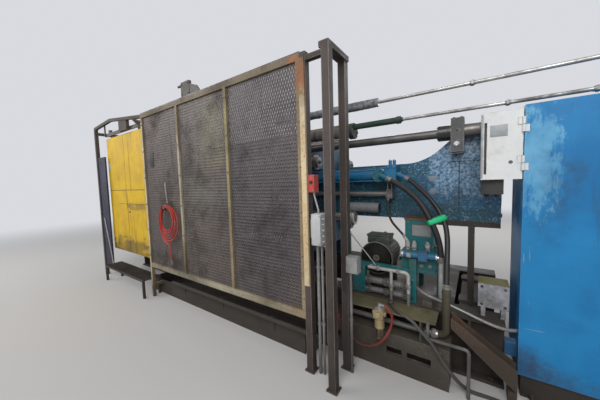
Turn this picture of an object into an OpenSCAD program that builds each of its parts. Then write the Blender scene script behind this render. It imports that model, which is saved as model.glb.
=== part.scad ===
// Horizontal cold-chamber die casting machine with its operator guard.
// X runs along the machine towards the injection end, the operator stands on
// the -Y side, Z is up. The origin is on the floor under the fixed platen.

/* [Machine] */
// Height of the closing axis above the floor
axis_h = 1400; // [1300:1500]
// Height of the bed rails
bed_h = 500; // [440:560]
// Flange width of a bed rail
rail_w = 200; // [160:240]
// Distance of a bed rail from the machine's centre plane
rail_y = 580; // [560:620]
// Left end of the bed
bed_left = -3850; // [-4100:-3820]
// Right end of the bed
bed_right = 1980; // [1960:2030]

/* [Platens] */
// Width of each platen
platen_w = 1280; // [1240:1320]
// Height of each platen
platen_h = 1300; // [1280:1320]
// Thickness of the fixed platen
fixed_t = 300; // [260:320]
// Thickness of the moving platen
moving_t = 250; // [220:300]
// Thickness of the rear platen
rear_t = 250; // [220:280]
// Clear space between the fixed and the moving platen
die_space = 1250; // [1200:1300]
// Diameter of a tie bar
tie_d = 120; // [100:130]
// Tie bar distance from the axis, across
tie_y = 460; // [440:480]
// Tie bar distance from the axis in height
tie_z = 430; // [420:440]

/* [Toggle] */
// Centre distance of the rear toggle link
link_rear = 480; // [460:500]
// Centre distance of the front toggle link
link_front = 600; // [580:640]
// Distance of the toggle pins from the axis
toggle_z = 250; // [230:270]
// Diameter of the toggle pins
pin_d = 90; // [70:100]
// Length of the closing cylinder
closing_l = 660; // [600:700]
// Outer diameter of the closing cylinder
closing_d = 300; // [260:320]

/* [Injection end] */
// Thickness of a side plate of the shot frame
plate_t = 40; // [30:50]
// Outer width over the two side plates
shot_w = 660; // [620:680]
// Lower edge of the shot frame below the axis
shot_drop = 185; // [170:200]
// Top of the arm of the shot frame above the axis
arm_rise = 355; // [340:380]
// Top of the head of the shot frame above the axis
head_rise = 568; // [550:580]
// Right end of the shot frame
shot_right = 1960; // [1940:1975]
// Diameter of the shot cylinder
shot_d = 300; // [280:320]
// Diameter of the strain rod beside the head
strain_d = 80; // [70:90]

/* [Guard] */
// Plane of the operator guard in front of the machine
guard_y = 1280; // [1260:1320]
// Height of the top of the guard
guard_h = 2620; // [2600:2660]
// Lower edge of the mesh bays
bay_low = 445; // [420:480]
// Pitch of the mesh bays
bay_w = 896; // [880:910]
// Number of mesh bays
bays = 3; // [3:3]
// Width of the sheet steel door
door_w = 1330; // [1280:1360]
// Travel of the sheet steel door
door_travel = 1200; // [1000:1220]

/* [Electrics] */
// Width of the electrical cabinet
cab_w = 1000; // [900:1100]
// Depth of the electrical cabinet
cab_d = 600; // [560:640]
// Height of the electrical cabinet with its plinth
cab_h = 2080; // [2040:2100]

/* [Hidden] */
// Clearance between pieces that seat on or turn in each other
eps = 0.3;
// Overcut of a bore or slot beyond the faces it opens
over = 1;
round_n = 48;
down = [0, 0, -1];
up = [0, 0, 1];

fixed_x = [-fixed_t / 2, fixed_t / 2];
moving_x = [fixed_x[0] - die_space - moving_t, fixed_x[0] - die_space];
lug = 85;
rear_pin_x = moving_x[0] - lug - link_front - link_rear;
front_pin_x = moving_x[0] - lug;
mid_pin_x = rear_pin_x + link_rear;
rear_x = [rear_pin_x - lug - rear_t, rear_pin_x - lug];
tie_r = tie_d / 2;
nut_r = tie_r + 30;
nut_l = 110;
plate_y = shot_w / 2;
rail_in = rail_y - rail_w / 2;
rail_out = rail_y + rail_w / 2;
platen_top = axis_h + platen_h / 2;
shot_low = axis_h - shot_drop;
arm_top = axis_h + arm_rise;
head_top = axis_h + head_rise;

// Steel block between two corners
module block(x, y, z) {
  translate([x[0], y[0], z[0]]) cube([x[1] - x[0], y[1] - y[0], z[1] - z[0]]);
}

// Round bar along X
module bar_x(x, y, z, r) {
  translate([x[0], y, z]) rotate([0, 90, 0]) cylinder(r = r, h = x[1] - x[0], $fn = round_n);
}

// Round bar along Y
module bar_y(x, y, z, r) {
  translate([x, y[0], z]) rotate([-90, 0, 0]) cylinder(r = r, h = y[1] - y[0], $fn = round_n);
}

// Round bar along Z
module bar_z(x, y, z, r) {
  translate([x, y, z[0]]) cylinder(r = r, h = z[1] - z[0], $fn = round_n);
}

// Round bar from point a to point b
module bar_to(a, b, r) {
  d = b - a;
  translate(a) rotate([0, acos(d[2] / norm(d)), atan2(d[1], d[0])])
    cylinder(r = r, h = norm(d), $fn = round_n);
}

// Quarter bend of a pipe round the point at
module elbow(at, turn, bend, r) {
  translate(at) rotate(turn) rotate_extrude(angle = 90, $fn = round_n) translate([bend, 0])
    circle(r = r, $fn = round_n);
}

// Both sides of the machine
module both_sides() {
  for (s = [0, 1]) mirror([0, s, 0]) children();
}

// Rectangle with round corners
module round_rect(w, h, r) {
  square([w - 2 * r, h], center = true);
  square([w, h - 2 * r], center = true);
  for (sx = [-1, 1], sy = [-1, 1])
    translate([sx * (w / 2 - r), sy * (h / 2 - r)]) circle(r = r, $fn = round_n);
}

// Outline in the XZ plane, drawn from y[0] to y[1]
module side_profile(y, points) {
  translate([0, y[0], 0]) rotate([90, 0, 0]) mirror([0, 0, 1]) linear_extrude(y[1] - y[0]) polygon(points);
}

// Bed: two welded rails of I section with ribs
flange_t = 25;
web_t = 30;
rib_t = 20;
beam_w = 160;
beam_h = 200;
support_x = 1757;
sleeve_beam_x = 900;
chute_beam_x = -700;
beams_x = [bed_left + 100, rear_x[0] + rear_t / 2, moving_x[0], chute_beam_x, 0, sleeve_beam_x, support_x];
beam_z = [bed_h - flange_t - beam_h, bed_h - flange_t];

module rail() {
  x = [bed_left, bed_right];
  block(x, [rail_in, rail_out], [0, flange_t]);
  block(x, [rail_in, rail_out], [bed_h - flange_t, bed_h]);
  block(x, [rail_y - web_t / 2, rail_y + web_t / 2], [0, bed_h]);
  for (bx = beams_x)
    block([bx - rib_t / 2, bx + rib_t / 2], [rail_in, rail_out], [0, bed_h]);
}

// Anchor holes near the ends of the rails, outside the web
anchor_r = 14;
anchor_x = [bed_left + 150, bed_right - 80];
anchor_y = rail_y + 60;

module bed_frame() color("dimgray") both_sides() difference() {
  rail();
  for (x = anchor_x) bar_z(x, anchor_y, [-over, flange_t + over], anchor_r);
}

// Box beams between the rails, the deck plate and the foot under the origin
deck_x = [sleeve_beam_x - 200, 1640];
foot_r = beam_w / 2;

module bed_beams() color("dimgray") {
  for (bx = beams_x)
    block([bx - beam_w / 2, bx + beam_w / 2], [-rail_in, rail_in], beam_z);
  block(deck_x, [-rail_in, rail_in], [bed_h - flange_t, bed_h]);
  block([-foot_r, foot_r], [-foot_r, foot_r], [0, beam_z[0]]);
}

// Shallow trays along both sides of the closing end
tray_x = [-2380, 500];
tray_y = 1150;
tray_h = 200;
tray_t = 8;

module drip_trays() color("gray") both_sides() difference() {
  block(tray_x, [-tray_y, -rail_out], [0, tray_h]);
  block([tray_x[0] + tray_t, tray_x[1] - tray_t], [-tray_y + tray_t, -rail_out - tray_t],
    [tray_t, tray_h + over]);
}

// Low box beside the bed at the injection end, with openings in its front,
// and the ledge above it that is level with the bed
step_x = [560, 1640];
step_y = rail_out + 250;
step_h = 320;
step_t = 12;
window_x = [[620, 760], [1181, 1304], [1343, 1519]];
window_z = [140, 205];
ledge_x = [780, 1545];
ledge_y = step_y - 30;
ledge_z = [bed_h - flange_t, bed_h - flange_t + step_t];
ledge_legs = [790, 1110, 1432];

module shot_step() color("dimgray") {
  difference() {
    block(step_x, [-step_y, -rail_out], [0, step_h]);
    block([step_x[0] + step_t, step_x[1] - step_t], [-step_y + step_t, -rail_out - step_t],
      [-over, step_h - step_t]);
    for (w = window_x) block(w, [-step_y - over, -step_y + step_t + over], window_z);
  }
  block(ledge_x, [-ledge_y, -rail_out], ledge_z);
  for (x = ledge_legs) block([x, x + step_t], [-ledge_y, -rail_out - 20], [step_h, ledge_z[0]]);
}

// Platen blank across the machine: plate with round corners, feet on the rails
corner_r = 70;
bore_gap = 1;
platen_foot_y = rail_in;

module platen(x, bore_r) {
  difference() {
    union() {
      translate([x[0], 0, axis_h]) rotate([90, 0, 90]) linear_extrude(x[1] - x[0])
        round_rect(platen_w, platen_h, corner_r);
      both_sides() block(x, [platen_foot_y, platen_w / 2], [bed_h, axis_h - platen_h / 2 + corner_r]);
    }
    for (sy = [-1, 1], sz = [-1, 1])
      bar_x([x[0] - over, x[1] + over], sy * tie_y, axis_h + sz * tie_z, tie_r + bore_gap);
    bar_x([x[0] - over, x[1] + over], 0, axis_h, bore_r);
  }
}

// T-slots across a die face
slot_w = 28;
slot_head = 50;
slot_lip = 26;
slot_deep = 50;
slot_reach = tie_y - tie_r - 70;
slot_rows = 4;
slot_pitch = (platen_h - 2 * slot_head - 300) / (slot_rows - 1);

module t_slots(face, dir) {
  for (i = [0:slot_rows - 1]) translate([0, 0, axis_h + (i - (slot_rows - 1) / 2) * slot_pitch]) {
    block([min(face - dir * over, face + dir * slot_lip), max(face - dir * over, face + dir * slot_lip)],
      [-slot_reach, slot_reach], [-slot_w / 2, slot_w / 2]);
    block([min(face + dir * slot_lip, face + dir * slot_deep),
      max(face + dir * slot_lip, face + dir * slot_deep)],
      [-slot_reach, slot_reach], [-slot_head / 2, slot_head / 2]);
  }
}

sleeve_r = 80;
piston_r = 50;

module fixed_platen() color("steelblue") difference() {
  platen(fixed_x, sleeve_r);
  t_slots(fixed_x[0], 1);
}

// Pairs of eyes for the toggle pins
eye_r = pin_d / 2 + 35;
eye_t = 60;

module eyes(face, pin_x, inner) {
  for (sz = [-1, 1]) both_sides() difference() {
    union() {
      bar_y(pin_x, [inner, inner + eye_t], axis_h + sz * toggle_z, eye_r);
      block([min(face, pin_x), max(face, pin_x)], [inner, inner + eye_t],
        [axis_h + sz * toggle_z - eye_r, axis_h + sz * toggle_z + eye_r]);
    }
    bar_y(pin_x, [inner - over, inner + eye_t + over], axis_h + sz * toggle_z, pin_d / 2 + eps);
  }
}

link_in = 150;
link_gap = 20;
link_out = link_in + eye_t + link_gap;

module moving_platen() color("steelblue") {
  difference() {
    platen(moving_x, piston_r + 10);
    t_slots(moving_x[1], -1);
  }
  eyes(moving_x[0], front_pin_x, link_out);
}

module rear_platen() color("steelblue") {
  platen(rear_x, piston_r + 5);
  eyes(rear_x[1], rear_pin_x, link_in);
}

// Tie bars with slotted round nuts at both ends
nut_slot = 16;
tie_end = 40;

module nut(x, y, z) {
  difference() {
    bar_x([x, x + nut_l], y, z, nut_r);
    for (a = [0:45:315])
      translate([x - over, y, z]) rotate([a, 0, 0]) translate([0, -nut_slot / 2, nut_r - 12])
        cube([nut_l + 2 * over, nut_slot, 20]);
  }
}

module tie_bars() color("silver") for (sy = [-1, 1], sz = [-1, 1]) {
  bar_x([rear_x[0] - nut_l - tie_end, fixed_x[1] + nut_l + tie_end], sy * tie_y, axis_h + sz * tie_z,
    tie_r);
  nut(rear_x[0] - nut_l, sy * tie_y, axis_h + sz * tie_z);
  nut(fixed_x[1], sy * tie_y, axis_h + sz * tie_z);
}

// Flat link with an eye at each end, from point a to point b in the XZ plane
waist = 0.72;

module link(a, b, y, r) {
  d = b - a;
  difference() {
    union() {
      for (p = [a, b]) bar_y(p[0], y, p[1], r);
      translate([a[0], y[0], a[1]]) rotate([0, -atan2(d[1], d[0]), 0])
        translate([0, 0, -r * waist]) cube([norm(d), y[1] - y[0], 2 * r * waist]);
    }
    for (p = [a, b]) bar_y(p[0], [y[0] - over, y[1] + over], p[1], pin_d / 2 + eps);
  }
}

// Crosshead that the closing rod pushes, with its own short links
cross_w = 140;
cross_x = mid_pin_x - 60;
cross_z = 110;
small_in = 60;
small_wall = 18;
link_play = 2;

module toggle_links() color("slategray") for (sz = [-1, 1]) both_sides() {
  z = axis_h + sz * toggle_z;
  link([rear_pin_x, z], [mid_pin_x, z], [link_out, link_out + eye_t], eye_r - 5);
  link([mid_pin_x, z], [front_pin_x, z], [link_in, link_in + eye_t], eye_r - 5);
  link([cross_x, axis_h + sz * cross_z], [mid_pin_x, z], [small_in, small_in + eye_t],
    pin_d / 2 + small_wall);
}

module toggle_pins() color("silver") for (sz = [-1, 1]) {
  for (x = [rear_pin_x, mid_pin_x, front_pin_x])
    bar_y(x, [-link_out - eye_t - 20, link_out + eye_t + 20], axis_h + sz * toggle_z, pin_d / 2);
  bar_y(cross_x, [-small_in - eye_t - 10, small_in + eye_t + 10], axis_h + sz * cross_z, pin_d / 2);
}

module crosshead() color("dimgray") difference() {
  block([cross_x - cross_w / 2, cross_x + cross_w / 2], [-small_in + link_play, small_in - link_play],
    [axis_h - cross_z - 70, axis_h + cross_z + 70]);
  for (sz = [-1, 1])
    bar_y(cross_x, [-small_in, small_in], axis_h + sz * cross_z, pin_d / 2 + eps);
}

// Closing cylinder behind the rear platen with its piston rod
cap_l = 60;
cap_over = 45;
tie_rod_r = 14;

module closing_cylinder() color("steelblue") {
  x0 = rear_x[0] - closing_l;
  bar_x([x0 + cap_l, rear_x[0] - cap_l], 0, axis_h, closing_d / 2);
  for (x = [[x0, x0 + cap_l], [rear_x[0] - cap_l, rear_x[0]]])
    translate([x[0], 0, axis_h]) rotate([90, 0, 90]) linear_extrude(x[1] - x[0])
      round_rect(closing_d + 2 * cap_over, closing_d + 2 * cap_over, 40);
  for (sy = [-1, 1], sz = [-1, 1])
    bar_x([x0 - 25, rear_x[0] - cap_l], sy * (closing_d / 2 + 15), axis_h + sz * (closing_d / 2 + 15),
      tie_rod_r);
  bar_x([rear_x[0], cross_x - cross_w / 2], 0, axis_h, piston_r);
}

// Side plate of the shot frame: an arm that rises in a curve to the head,
// with the grooves of its welded seams
curve_r = 430;
curve_x = 1215;
curve_a = 41;
curve_n = 16;
root_t = 60;
seam_w = 4;
seam_deep = 3;
head_x = [shot_right - 400, shot_right];
seam_x = head_x[0] + 98;
seam_z = arm_top - 10;

function arc(cx, cz, r, a0, a1,
  n) = [for (i = [0:n]) [cx + r * cos(a0 + (a1 - a0) * i / n), cz + r * sin(a0 + (a1 - a0) * i / n)]];

module frame_plate() {
  bend = arc(curve_x, arm_top + curve_r, curve_r, 270, 270 + curve_a, curve_n);
  rise = head_top - bend[curve_n][1];
  difference() {
    side_profile([-plate_y, -plate_y + plate_t],
      concat([[fixed_x[1], shot_low], [fixed_x[1], arm_top]], bend,
        [[bend[curve_n][0] + rise / tan(curve_a), head_top], [shot_right, head_top],
          [shot_right, shot_low]]));
    block([seam_x, seam_x + seam_w], [-plate_y - over, -plate_y + seam_deep], [shot_low - over, seam_z]);
    block([head_x[0], shot_right + over], [-plate_y - over, -plate_y + seam_deep],
      [seam_z, seam_z + seam_w]);
  }
  block([fixed_x[1], fixed_x[1] + plate_t], [-plate_y + plate_t, -plate_y + plate_t + root_t],
    [shot_low, arm_top]);
}

module shot_frame_front() color("steelblue") frame_plate();

module shot_frame_rear() color("steelblue") mirror([0, 1, 0]) frame_plate();

// Head between the side plates, bored for the shot cylinder
spigot_r = shot_d / 2 - 20;
cyl_flange_t = 50;
cyl_flange_r = shot_d / 2 + 30;
cyl_l = 660;
cyl_cap_t = 40;
cyl_cap_r = shot_d / 2 + 20;
cyl_x = head_x[0] - cyl_l;

module shot_head() color("steelblue") difference() {
  block(head_x, [-plate_y + plate_t, plate_y - plate_t], [shot_low, head_top - 60]);
  bar_x([head_x[0] - over, head_x[1] + over], 0, axis_h, spigot_r);
}

module shot_cylinder() color("steelblue") {
  bar_x([cyl_x, head_x[0] - cyl_flange_t], 0, axis_h, shot_d / 2);
  bar_x([head_x[0] - cyl_flange_t, head_x[0]], 0, axis_h, cyl_flange_r);
  bar_x([head_x[0], head_x[1] + 15], 0, axis_h, spigot_r);
  bar_x([cyl_x - cyl_cap_t, cyl_x], 0, axis_h, cyl_cap_r);
}

// Plunger rod with its coupling, from the cylinder into the sleeve
plunger_r = 35;
coupling_r = 60;
sleeve_end = 520;
sleeve_bore = 45;
coupling_x = [sleeve_end + 90, sleeve_end + 160];

module plunger() color("silver") {
  bar_x([sleeve_end - 40, cyl_x - cyl_cap_t], 0, axis_h, plunger_r);
  bar_x(coupling_x, 0, axis_h, coupling_r);
}

// Sleeve through the fixed platen with the hole for the molten metal
pour_x = [sleeve_end - 180, sleeve_end - 70];

module shot_sleeve() color("gray") difference() {
  union() {
    bar_x([fixed_x[0], sleeve_end], 0, axis_h, sleeve_r);
    bar_x([fixed_x[1], fixed_x[1] + 40], 0, axis_h, sleeve_r + 30);
  }
  bar_x([fixed_x[0] - over, sleeve_end + over], 0, axis_h, sleeve_bore);
  block(pour_x, [-sleeve_bore + 5, sleeve_bore - 5], [axis_h, axis_h + sleeve_r + over]);
}

// Legs and beams that carry the shot frame on the bed
leg_r = 25;
leg_foot = 90;
carrier_h = 50;
carrier_w = 80;
carrier_x = [1450, shot_right];

module shot_support() color("dimgray") {
  both_sides() {
    block([support_x - leg_r, support_x + leg_r], [-plate_y, -plate_y + carrier_w],
      [bed_h - flange_t, shot_low - carrier_h]);
    block([support_x - leg_foot, support_x + leg_foot], [-plate_y - 20, -plate_y + carrier_w + 20],
      [bed_h - flange_t, bed_h - flange_t + 20]);
    block(carrier_x, [-plate_y, -plate_y + carrier_w], [shot_low - carrier_h, shot_low]);
  }
  block([support_x - leg_r, support_x + leg_r], [-plate_y + carrier_w, plate_y - carrier_w],
    [bed_h + 200, bed_h + 270]);
}

// Strain rod beside the head: thinner before its collar than in the clamp
strain_y = plate_y + 70;
strain_z = head_top + 29;
strain_r = strain_d / 2;
thick_r = strain_r + 19;
collar_r = strain_r + 28;
clamp_x = [1601, 1697];
collar_l = 100;

module strain_rods() color("gray") {
  bar_x([fixed_x[1], clamp_x[0]], -strain_y, strain_z, strain_r);
  bar_x([clamp_x[0] - collar_l, clamp_x[0]], -strain_y, strain_z, collar_r);
  bar_x([clamp_x[0], shot_right - 10], -strain_y, strain_z, thick_r);
}

// Split clamp on the side of the head: two halves and a base, with its bolts
clamp_y = [-strain_y - collar_r, -plate_y];
clamp_top = strain_z + 110;
clamp_split = strain_z - 76;
clamp_low = strain_z - 172;
split_w = 4;
bolt_r = 17;
bolt_deep = 7;
low_bolt_z = clamp_split - 32;

module rod_clamps() color("darkgray") {
  mid_x = (clamp_x[0] + clamp_x[1]) / 2;
  difference() {
    block(clamp_x, clamp_y, [clamp_low, clamp_top]);
    bar_x([clamp_x[0] - over, clamp_x[1] + over], -strain_y, strain_z, thick_r + eps);
    block([clamp_x[0] - over, clamp_x[1] + over], [clamp_y[0] - over, clamp_y[0] + bolt_deep],
      [clamp_split, clamp_split + split_w]);
    bar_y(mid_x, [clamp_y[0] - over, clamp_y[0] + bolt_deep], strain_z, bolt_r);
  }
  bar_y(mid_x, [clamp_y[0] - bolt_deep, clamp_y[0]], low_bolt_z, bolt_r);
  block([clamp_x[0] + 5, clamp_x[1] - 5], [clamp_y[0] + 10, clamp_y[1]], [clamp_low - 16, clamp_low]);
}

// Long cylinder along the side of the shot frame, with its head and ports
inten_y = plate_y + 100;
inten_z = axis_h + 257;
inten_r = 58;
inten_x = [fixed_x[1], 1050];
inten_head = [inten_x[1], inten_x[1] + 104];
inten_head_y = -inten_y - 65;
inten_head_z = [inten_z - 72, inten_z + 88];
inten_root_t = 40;
inten_flange = 70;
boss_x = inten_x[1] - 52;
boss_y = inten_head_y - 25;
boss_r = 64;
stub_r = 8;
port_a = [boss_x + 20, boss_y - 32, inten_z - 6];
port_a_end = port_a + [72, -12, -34];
port_b = [inten_head[1] + 8, -inten_y - 12, inten_z - 4];
port_b_end = port_b + [70, -18, -36];
port_r = 22;

module intensifier() color("dodgerblue") {
  bar_x([inten_x[0] + inten_root_t, inten_x[1]], -inten_y, inten_z, inten_r);
  block([inten_x[0], inten_x[0] + inten_root_t], [-inten_y - inten_flange, -inten_y + inten_flange],
    [inten_z - inten_flange, inten_z + inten_flange]);
  for (sy = [-1, 1], sz = [-1, 1])
    bar_x([inten_x[0] + inten_root_t, inten_head[0]], -inten_y + sy * (inten_r - 4),
      inten_z + sz * (inten_r + 4), 7);
  block(inten_head, [inten_head_y, -plate_y], inten_head_z);
  bar_y(boss_x, [boss_y, -inten_y], inten_z - 10, boss_r);
  bar_y(port_a[0], [port_a[1] - port_r + 4, boss_y], port_a[2], port_r);
  bar_to(port_a, port_a_end, port_r);
  bar_x([inten_head[1], port_b[0] + port_r - 4], port_b[1], port_b[2], port_r);
  bar_to(port_b, port_b_end, port_r - 2);
  for (x = [inten_head[0] + 40, inten_head[0] + 78])
    bar_z(x, -inten_y - 10, [inten_head_z[1], inten_head_z[1] + 45], 2 * stub_r);
}

// Return rod and the pull-back cylinder below it
return_y = plate_y + 70;
return_z = axis_h + 62;
return_r = 29;
return_block = [1046, 1106];
pull_y = plate_y + 130;
pull_z = shot_low - 10;
pull_r = 60;
pull_x = [fixed_x[1], 730];

module return_rod() color("gray") {
  bar_x([fixed_x[1], return_block[1]], -return_y, return_z, return_r);
  block(return_block, [-return_y - 35, -plate_y], [return_z - 45, return_z + 45]);
  for (x = [return_block[0] + 12, return_block[1] - 12])
    bar_z(x, -return_y - 20, [return_z + 45, inten_head_z[0] - eps], stub_r);
  bar_x([pull_x[0], pull_x[1]], -pull_y, pull_z, pull_r);
  bar_x([pull_x[1] - 30, pull_x[1]], -pull_y, pull_z, pull_r + 8);
}

// Half-round cover on the side of the shot frame
cover_x = [640, 970];
cover_y = plate_y + 68;
cover_z = axis_h - 84;
cover_r = 52;
cover_t = 4;

module rod_tray() color("gray") {
  difference() {
    bar_x(cover_x, -cover_y, cover_z, cover_r);
    bar_x([cover_x[0] - over, cover_x[1] + over], -cover_y, cover_z, cover_r - cover_t);
    block([cover_x[0] - over, cover_x[1] + over], [-cover_y, -cover_y + cover_r + over],
      [cover_z - cover_r - over, cover_z]);
  }
  for (x = [cover_x[0] + 30, cover_x[1] - 50])
    block([x, x + 20], [-cover_y + cover_r - cover_t, -plate_y], [cover_z, cover_z + 20]);
}

// Gas accumulator on its saddle on top of the fixed platen
acc_r = 58;
acc_y = 400;
acc_over = 85;
line_over = 60;
green_up = 42;
acc_z = max(platen_top + acc_over, cab_h + line_over - green_up);
acc_x = [-800, 660];
acc_flange_t = 50;
acc_flange_r = 84;
acc_end = 1180;
green_r = 30;
green_z = acc_z + green_up;
saddle_x = [-80, 40];

module accumulators() color("tan") {
  bar_x(acc_x, -acc_y, acc_z, acc_r);
  bar_x([acc_x[1], acc_x[1] + acc_flange_t], -acc_y, acc_z, acc_flange_r);
  bar_x([acc_x[1] + acc_flange_t, acc_end], -acc_y, green_z, green_r);
  block(saddle_x, [-acc_y - 90, -acc_y + 90], [platen_top, acc_z - 10]);
}

// Oil and gas lines above the machine, down into the tank behind the cabinet
pipe_r = 15;
pipe_turn = 2750;
high_turn = pipe_turn + 120;
high_y = 540;
high_z = green_z + 165;
high_x = [fixed_x[0] - 100, 1010];
jacket_r = 40;
jacket_end = 150;
clip_t = 24;
tank_x = [2250, 3150];
tank_y = [150, 1050];
tank_foot = 150;
tank_top = 1300;
drop_y = tank_y[0] + 330;

module overhead_pipes() color("silver") {
  bar_x([acc_end, pipe_turn], -acc_y, green_z, pipe_r);
  bar_y(pipe_turn, [-acc_y, drop_y], green_z, pipe_r);
  bar_z(pipe_turn, drop_y, [tank_top, green_z + pipe_r], pipe_r);
  bar_x([high_x[0], high_turn], -high_y, high_z, pipe_r);
  bar_x([high_x[0], high_x[1] - jacket_end], -high_y, high_z, jacket_r);
  bar_x([high_x[0], high_x[1]], -high_y, high_z, jacket_r - 10);
  bar_y(high_turn, [-high_y, drop_y], high_z, pipe_r);
  bar_z(high_turn, drop_y, [tank_top, high_z + pipe_r], pipe_r);
  block([-clip_t / 2, clip_t / 2], [-high_y - clip_t / 2, -high_y + clip_t / 2],
    [platen_top, high_z - jacket_r + 5]);
}

// Portal frame of the hydraulic pump unit, with the shelf for the valves
portal_x = [770, 1365];
portal_y = [-rail_out + 30, -120];
portal_top = bed_h + 300;
portal_bar = 40;
left_w = 130;
right_w = 60;
post_t = 50;
right_top = bed_h + 400;
shelf_x = [portal_x[1] - right_w, 1540];
shelf_y = -300;
shelf_z = [portal_top - 35, portal_top - 15];

module pump_frame() color("teal") {
  y0 = portal_y[0];
  y1 = portal_y[1];
  block([portal_x[0], portal_x[0] + left_w], [y0, y0 + post_t], [bed_h, portal_top]);
  block([portal_x[1] - right_w, portal_x[1]], [y0, y0 + post_t], [bed_h, right_top]);
  for (x = [portal_x[0], portal_x[1] - right_w])
    block([x, x + portal_bar], [y1 - post_t, y1], [bed_h, shelf_z[0]]);
  for (x = [portal_x[0], portal_x[1] - right_w])
    block([x, x + portal_bar], [y0 + post_t, y1], [shelf_z[0] - portal_bar, shelf_z[0]]);
  block([portal_x[0], portal_x[1]], [y0 + 10, y0 + post_t], [portal_top - portal_bar, portal_top]);
  block([portal_x[0], portal_x[1]], [y1 - portal_bar, y1], [shelf_z[0] - portal_bar, shelf_z[0]]);
  block(shelf_x, [y0 + post_t, shelf_y], shelf_z);
  block([shelf_x[1] - post_t, shelf_x[1]], [shelf_y - post_t, shelf_y], [bed_h, shelf_z[0]]);
}

// Electric motor of the pump: finned body, fan cover with ring grooves, foot
motor_r = 162;
motor_x = 985;
motor_z = bed_h + 335;
motor_y = [-570, -170];
fan_l = 90;
fin_n = 30;
fin_t = 5;
body_r = motor_r - 26;

module pump_motor() color("darkslategray") {
  bar_y(motor_x, [motor_y[0] + fan_l, motor_y[1]], motor_z, body_r);
  for (i = [0:fin_n - 1])
    translate([motor_x, 0, motor_z]) rotate([0, (i + 0.5) * 360 / fin_n, 0])
      block([body_r - 2, motor_r - 5], [motor_y[0] + fan_l, motor_y[1] - 40], [-fin_t / 2, fin_t / 2]);
  difference() {
    bar_y(motor_x, [motor_y[0], motor_y[0] + fan_l], motor_z, motor_r);
    for (r = [50:28:134]) difference() {
      bar_y(motor_x, [motor_y[0] - over, motor_y[0] + 8], motor_z, r + 5);
      bar_y(motor_x, [motor_y[0] - 2 * over, motor_y[0] + 9], motor_z, r - 5);
    }
  }
  for (y = [motor_y[0] + fan_l + 20, motor_y[1] - 90])
    block([motor_x - 110, motor_x + 110], [y, y + 60], [bed_h, motor_z - body_r / 2]);
}

// Rigid pipes of the pump unit and of the step
white_r = 16;
white_y = portal_y[0] - white_r - 34;
white_z = portal_top - 20;
white_x = [portal_x[0] + 180, portal_x[1] - 55];
white_bend = 40;
drop_x = 1163;
thick_r_a = 32;
thick_r_b = 28;
thick_y = portal_y[0] + post_t / 2;
thick_z = [bed_h + 130, bed_h + 35];
hose_a_foot = [1555, -rail_out + 30];
hose_a_z = bed_h + 400;
hose_pipe_r = 20;
olive_r = 29;
olive_x = 1606;
olive_y = -790;
olive_z = [step_h + olive_r + 3, bed_h + 235];
olive_bend = 60;
fitting_l = 50;
low_pipe_r = 22;
low_pipe_y = -ledge_y + 40;
grey_r = 12;
grey_y = -ledge_y - grey_r - 6;
grey_x = 1760;
grey_z = step_h + 45;
grey_bend = 30;

module pump_pipes() color("silver") {
  bar_x([white_x[0], white_x[1] - white_bend], white_y, white_z, white_r);
  elbow([white_x[1] - white_bend, white_y, white_z - white_bend], [90, 0, 0], white_bend, white_r);
  bar_z(white_x[1], white_y, [ledge_z[1], white_z - white_bend], white_r);
  bar_z(drop_x, white_y, [ledge_z[1], white_z], white_r - 2);
  bar_y(white_x[0] + white_r, [white_y, portal_y[0] + 10], white_z, white_r);
  bar_x([portal_x[0] + left_w, portal_x[1] - right_w], thick_y, thick_z[0], thick_r_a);
  bar_x([portal_x[0] + left_w, portal_x[1] - right_w], thick_y, thick_z[1], thick_r_b);
  bar_z(hose_a_foot[0], hose_a_foot[1], [bed_h, hose_a_z], hose_pipe_r);
  bar_z(olive_x, olive_y, [olive_z[0] + olive_bend, olive_z[1]], olive_r);
  elbow([olive_x - olive_bend, olive_y, olive_z[0] + olive_bend], [-90, 0, 0], olive_bend, olive_r);
  bar_x([ledge_legs[2] + step_t, olive_x - olive_bend], olive_y, olive_z[0], olive_r);
  bar_x([ledge_legs[2] + step_t, ledge_legs[2] + step_t + fitting_l], olive_y, olive_z[0], olive_r + 2.5);
  bar_x([ledge_legs[0] + step_t, ledge_legs[1]], low_pipe_y, step_h + 70, low_pipe_r);
  bar_x([ledge_legs[1] + step_t, ledge_legs[2]], low_pipe_y, step_h + 70, low_pipe_r);
  block([ledge_x[1] - 60, ledge_x[1] - 40], [grey_y - grey_r, -ledge_y], [grey_z - grey_r, ledge_z[1]]);
  bar_x([ledge_x[1] - 60, grey_x - grey_bend], grey_y, grey_z, grey_r);
  elbow([grey_x - grey_bend, grey_y, grey_z - grey_bend], [90, 0, 0], grey_bend, grey_r);
  bar_z(grey_x, grey_y, [0, grey_z - grey_bend], grey_r);
}

// Valve tower on the shelf: block, column with a recessed panel, valves
tower_x = [1230, 1530];
tower_y = [portal_y[0] + post_t, -345];
tower_split = bed_h + 460;
column_x = [1242, 1484];
column_y = tower_y[0] + 90;
column_top = shot_low + 10;
cap_plate = 15;
panel_x = [1301, 1461];
panel_z = [1077, 1187];
panel_deep = 10;
spool_z = tower_split - 22;
spool_y = portal_y[0] - 5;
spool_x = [1385, 1455];
coil_l = 62;
coil_r = 27;
stem_x = [1275, 1330, 1440];
stem_y = tower_y[0] + 42;
stem_r = 21;
stem_top = tower_split + 82;
nipple = [stem_x[0], stem_y, stem_top - 12];
nipple_end = nipple + [-32, 8, 42];

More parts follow.
